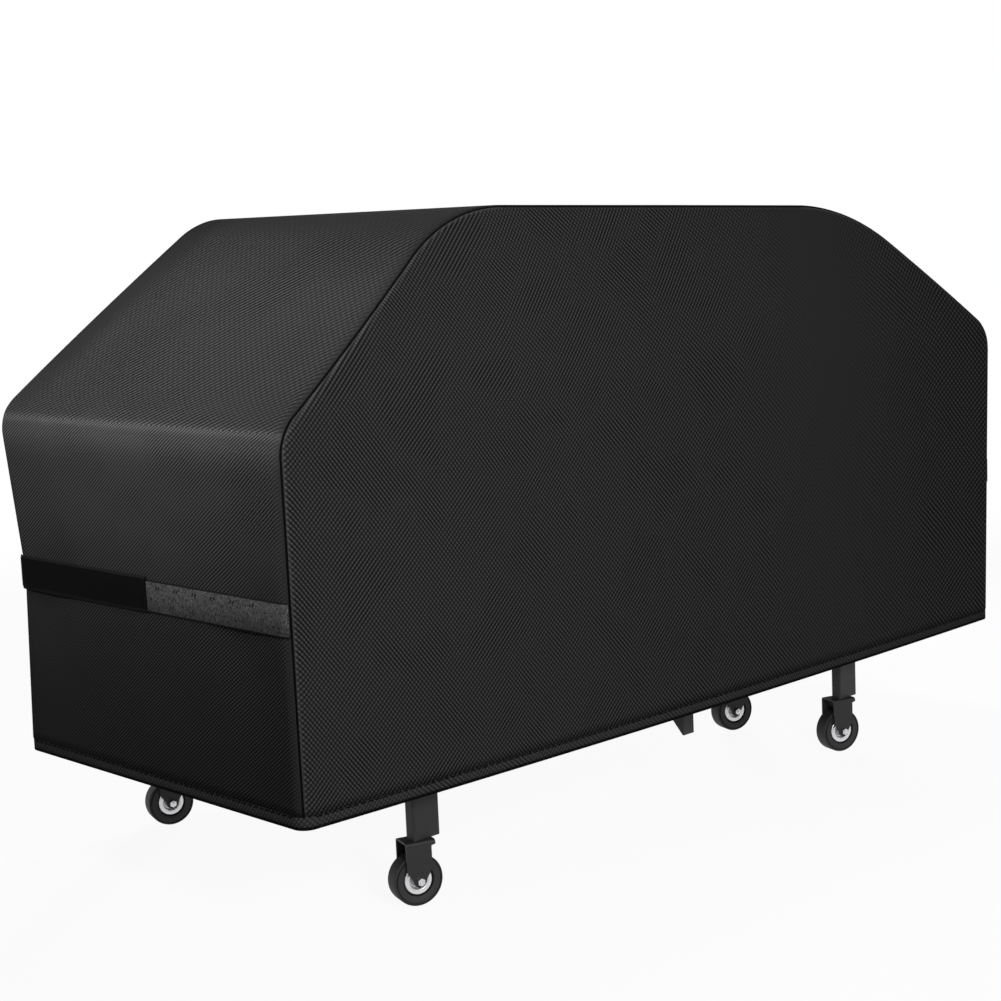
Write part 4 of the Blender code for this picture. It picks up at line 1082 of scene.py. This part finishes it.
def fork_shape():
    """Two plates and the top between them, bent from one sheet, with axle holes and the stem."""
    bm = bmesh.new()
    plate = plate_outline()
    near_side = [bm.verts.new((x, -FORK_WIDTH / 2, z)) for x, z in plate]
    far_side = [bm.verts.new((x, FORK_WIDTH / 2, z)) for x, z in plate]
    bm.faces.new(near_side)
    bm.faces.new(far_side[::-1])
    top = bm.faces.new((near_side[0], near_side[-1], far_side[-1], far_side[0]))
    soften(bm, [e for e in top.edges if same_y(e)], BEND_RADIUS, BEND_STEPS)
    for side in (-1, 1):
        cut_axle_hole(bm, side * FORK_WIDTH / 2)
    bmesh.ops.recalc_face_normals(bm, faces=bm.faces)
    if sum(f.normal.z * f.calc_area() for f in bm.faces) < 0:
        bmesh.ops.reverse_faces(bm, faces=bm.faces)
    bmesh.ops.solidify(bm, geom=bm.faces[:], thickness=FORK_SHEET)
    low = FORK_TOP - FORK_SHEET / 2
    stem_middle = Matrix.Translation((0, 0, (low + STEM_TOP) / 2))
    add_bar(bm, ROD_SIDES, STEM / 2, STEM_TOP - low, stem_middle)
    bmesh.ops.recalc_face_normals(bm, faces=bm.faces)
    return bm


print(f"fork {FORK_WIDTH * 1000:.1f} mm wide, of {FORK_SHEET * 1000:.1f} mm sheet")

# %% Nut and bolt shapes
NUT, HEAD, SHANK = (-0.01855, -0.02355), (0.01855, 0.02255), (-0.02455, 0.0205)
HEX_RADIUS, SHANK_RADIUS, EDGE_BREAK = 0.00577, 0.003, 0.0005


def add_fastener(bm, sides, radius, start, end):
    """A head, nut or shank along Y, with the edges of its ends broken."""
    lying = Matrix.Translation((0, (start + end) / 2, 0)) @ Matrix.Rotation(math.pi / 2, 4, "X")
    verts = add_bar(bm, sides, radius, abs(end - start), lying)
    soften(bm, [e for e in bm.edges if e.verts[0] in verts and same_y(e)], EDGE_BREAK, 2)


def nut_shape():
    """A hexagon nut on the axle's end."""
    bm = bmesh.new()
    add_fastener(bm, 6, HEX_RADIUS, *NUT)
    return bm


def bolt_shape():
    """A hexagon bolt, which is the axle."""
    bm = bmesh.new()
    add_fastener(bm, 6, HEX_RADIUS, *HEAD)
    add_fastener(bm, ROD_SIDES, SHANK_RADIUS, *SHANK)
    return bm


print(f"bolt M{SHANK_RADIUS * 2000:.0f}, with its head {(HEAD[1] - SHANK[0]) * 1000:.0f} mm long")

# %% [markdown]
# ## Finishes of the casters and the cart
# The forks and legs are powder coated: black, satin, with a fine orange-peel grain. The tyre is
# solid rubber with a little dust, and the hub, bolt and nut are zinc plated, which is bright and
# faintly mottled. Their patterns sit on Object coordinates, so nothing has to be unwrapped, and a
# grain has the same size on a leg as on a nut.

# %% Powder coat, rubber and zinc
COAT_GRAIN, COAT_CLOUD, RUBBER_GRAIN, RUBBER_DUST, SPANGLE = 0.0015, 0.06, 0.0008, 0.012, 0.004
MOTTLE = 0.08


def powder_coat(name, dark, light, roughness):
    """Powder coat: a grain of about 1.5 mm as a shallow bump, over tones that change slowly."""
    made, tree, shader = material(name)
    where = add(tree, "TexCoord", {}).outputs["Object"]
    grain = add(tree, "TexNoise", {"Vector": where, "Scale": 1 / COAT_GRAIN, "Detail": 2.0})
    cloud = add(tree, "TexNoise", {"Vector": where, "Scale": 1 / COAT_CLOUD, "Detail": 3.0})
    tones = ((0, dark), (1, light))
    tint = add(tree, "ValToRGB", {"Fac": cloud.outputs["Fac"]}, stops=tones)
    peel = {"Height": grain.outputs["Fac"], "Strength": 0.12, "Distance": 0.0003}
    bumps = add(tree, "Bump", peel)
    feed(tree, shader, {"Base Color": tint, "Roughness": roughness, "Normal": bumps})
    feed(tree, shader, {"Specular IOR Level": 0.3})
    return made


def plated(name, dark, light, roughness):
    """Plated steel with a faint mottle in its tone and its shine."""
    made, tree, shader = material(name)
    where = add(tree, "TexCoord", {}).outputs["Object"]
    noise = add(tree, "TexNoise", {"Vector": where, "Scale": 1 / SPANGLE, "Detail": 3.0})
    spangle = noise.outputs["Fac"]
    tint = add(tree, "ValToRGB", {"Fac": spangle}, stops=((0, dark), (1, light)))
    mottle = {"Value": spangle, "To Min": roughness - MOTTLE, "To Max": roughness + MOTTLE}
    rough = add(tree, "MapRange", mottle)
    feed(tree, shader, {"Base Color": tint, "Metallic": 1.0, "Roughness": rough})
    return made


# Satin black with a broad soft shine: legs and rails read as painted tube, the forks a bit lighter.
cart_paint = powder_coat("satin_black_powder_coat", "#202020", "#2a2a2a", 0.5)
fork_paint = powder_coat("satin_black_fork_coat", "#202020", "#2c2c2c", 0.48)
# Smoother and darker, so the grill's sheet metal shows sharper lights than the cart.
grill_enamel = powder_coat("semi_gloss_black_enamel", "#171717", "#1f1f1f", 0.3)
# Dull moulded plastic, seen only as a dark ring in the end of a leg.
socket_plastic = powder_coat("moulded_black_nylon", "#161616", "#1c1c1c", 0.6)
# Oiled iron with a warm tinge, which tells the plate from the painted body.
griddle_iron = powder_coat("seasoned_griddle_steel", "#141312", "#211f1d", 0.42)

# Near-black rubber whose grey comes from its sheen, so all four tyres look alike in any light.
tyre_rubber, tree, shader = material("solid_black_rubber")
where = add(tree, "TexCoord", {}).outputs["Object"]
dust = add(tree, "TexNoise", {"Vector": where, "Scale": 1 / RUBBER_DUST, "Detail": 4.0})
tint = add(tree, "ValToRGB", {"Fac": dust.outputs["Fac"]}, stops=((0, "#0c0c0c"), (1, "#1e1e1e")))
grain = add(tree, "TexNoise", {"Vector": where, "Scale": 1 / RUBBER_GRAIN, "Detail": 2.0})
bumps = add(tree, "Bump", {"Height": grain.outputs["Fac"], "Strength": 0.2, "Distance": 0.0002})
feed(tree, shader, {"Base Color": tint, "Roughness": 0.7, "Normal": bumps})
feed(tree, shader, {"Specular IOR Level": 0.5})

# Bright metal: the hubs are the lightest spots of the picture, bolts, nuts and handle a bit darker.
hub_steel = plated("zinc_plated_hub_steel", "#c4c4c6", "#e0e0e2", 0.38)
zinc = plated("zinc_plated_fastener", "#b8b8ba", "#dcdcde", 0.32)
handle_steel = plated("brushed_handle_steel", "#b8b8ba", "#cfcfd1", 0.3)

# %% Place the casters
for place in ("front_left", "front_right", "rear_left", "rear_right"):
    swivel = joints[place + "_swivel"]["pos_m"]
    axle = Vector(joints[place + "_roll"]["pos_m"])
    axis = Vector(joints[place + "_roll"]["axis"])
    facing = Matrix.Rotation(math.atan2(-axis.x, axis.y), 4, "Z")
    on_axle = Matrix.Translation(axle) @ facing
    under_leg = Matrix.Translation((swivel[0], swivel[1], 0.0)) @ facing
    caster, wheel = place + "_caster", place + "_wheel"
    zinc_look = ("zinc_fastener", zinc)
    for label, node, bm, at, body, look, crisp in (
        ("rubber_tyre", "tyre", spun(tyre_half), on_axle, wheel, ("tyre_rubber", tyre_rubber), 40),
        ("wheel_hub", "hub", spun(hub_half), on_axle, wheel, ("hub_steel", hub_steel), 40),
        ("bent_fork", "fork", fork_shape(), under_leg, caster, ("fork_paint", fork_paint), 30),
        ("hex_nut", "axle_nut", nut_shape(), on_axle, caster, zinc_look, 25),
        ("hex_bolt", "axle_bolt", bolt_shape(), on_axle, caster, zinc_look, 25),
    ):
        bm.transform(at)
        piece(f"{place}_{label}", bm, body, *look, [f"{place}_{node}"], crisp=crisp)

# %% [markdown]
# ## Finishes of the carried-over solids
# The legs, rails, shelf, bracket and the grill under the cover keep their CAD shapes. Remaking
# them would bring nothing, since flat sheet and tube are already exact, so each only gets its real
# finish by putting a new material in the node's slot.

# %% Finishes by slot
by_slot = {
    "cart_paint": cart_paint,
    "grill_enamel": grill_enamel,
    "griddle_iron": griddle_iron,
    "handle_steel": handle_steel,
    "socket_plastic": socket_plastic,
}
dressed = [part for part in frame["record"]["subparts"] if part["material_slot"] in by_slot]
for part in dressed:
    mesh = nodes[part["node"]].data
    mesh.materials.clear()
    mesh.materials.append(by_slot[part["material_slot"]])
print("finishes on", len(dressed), "nodes")
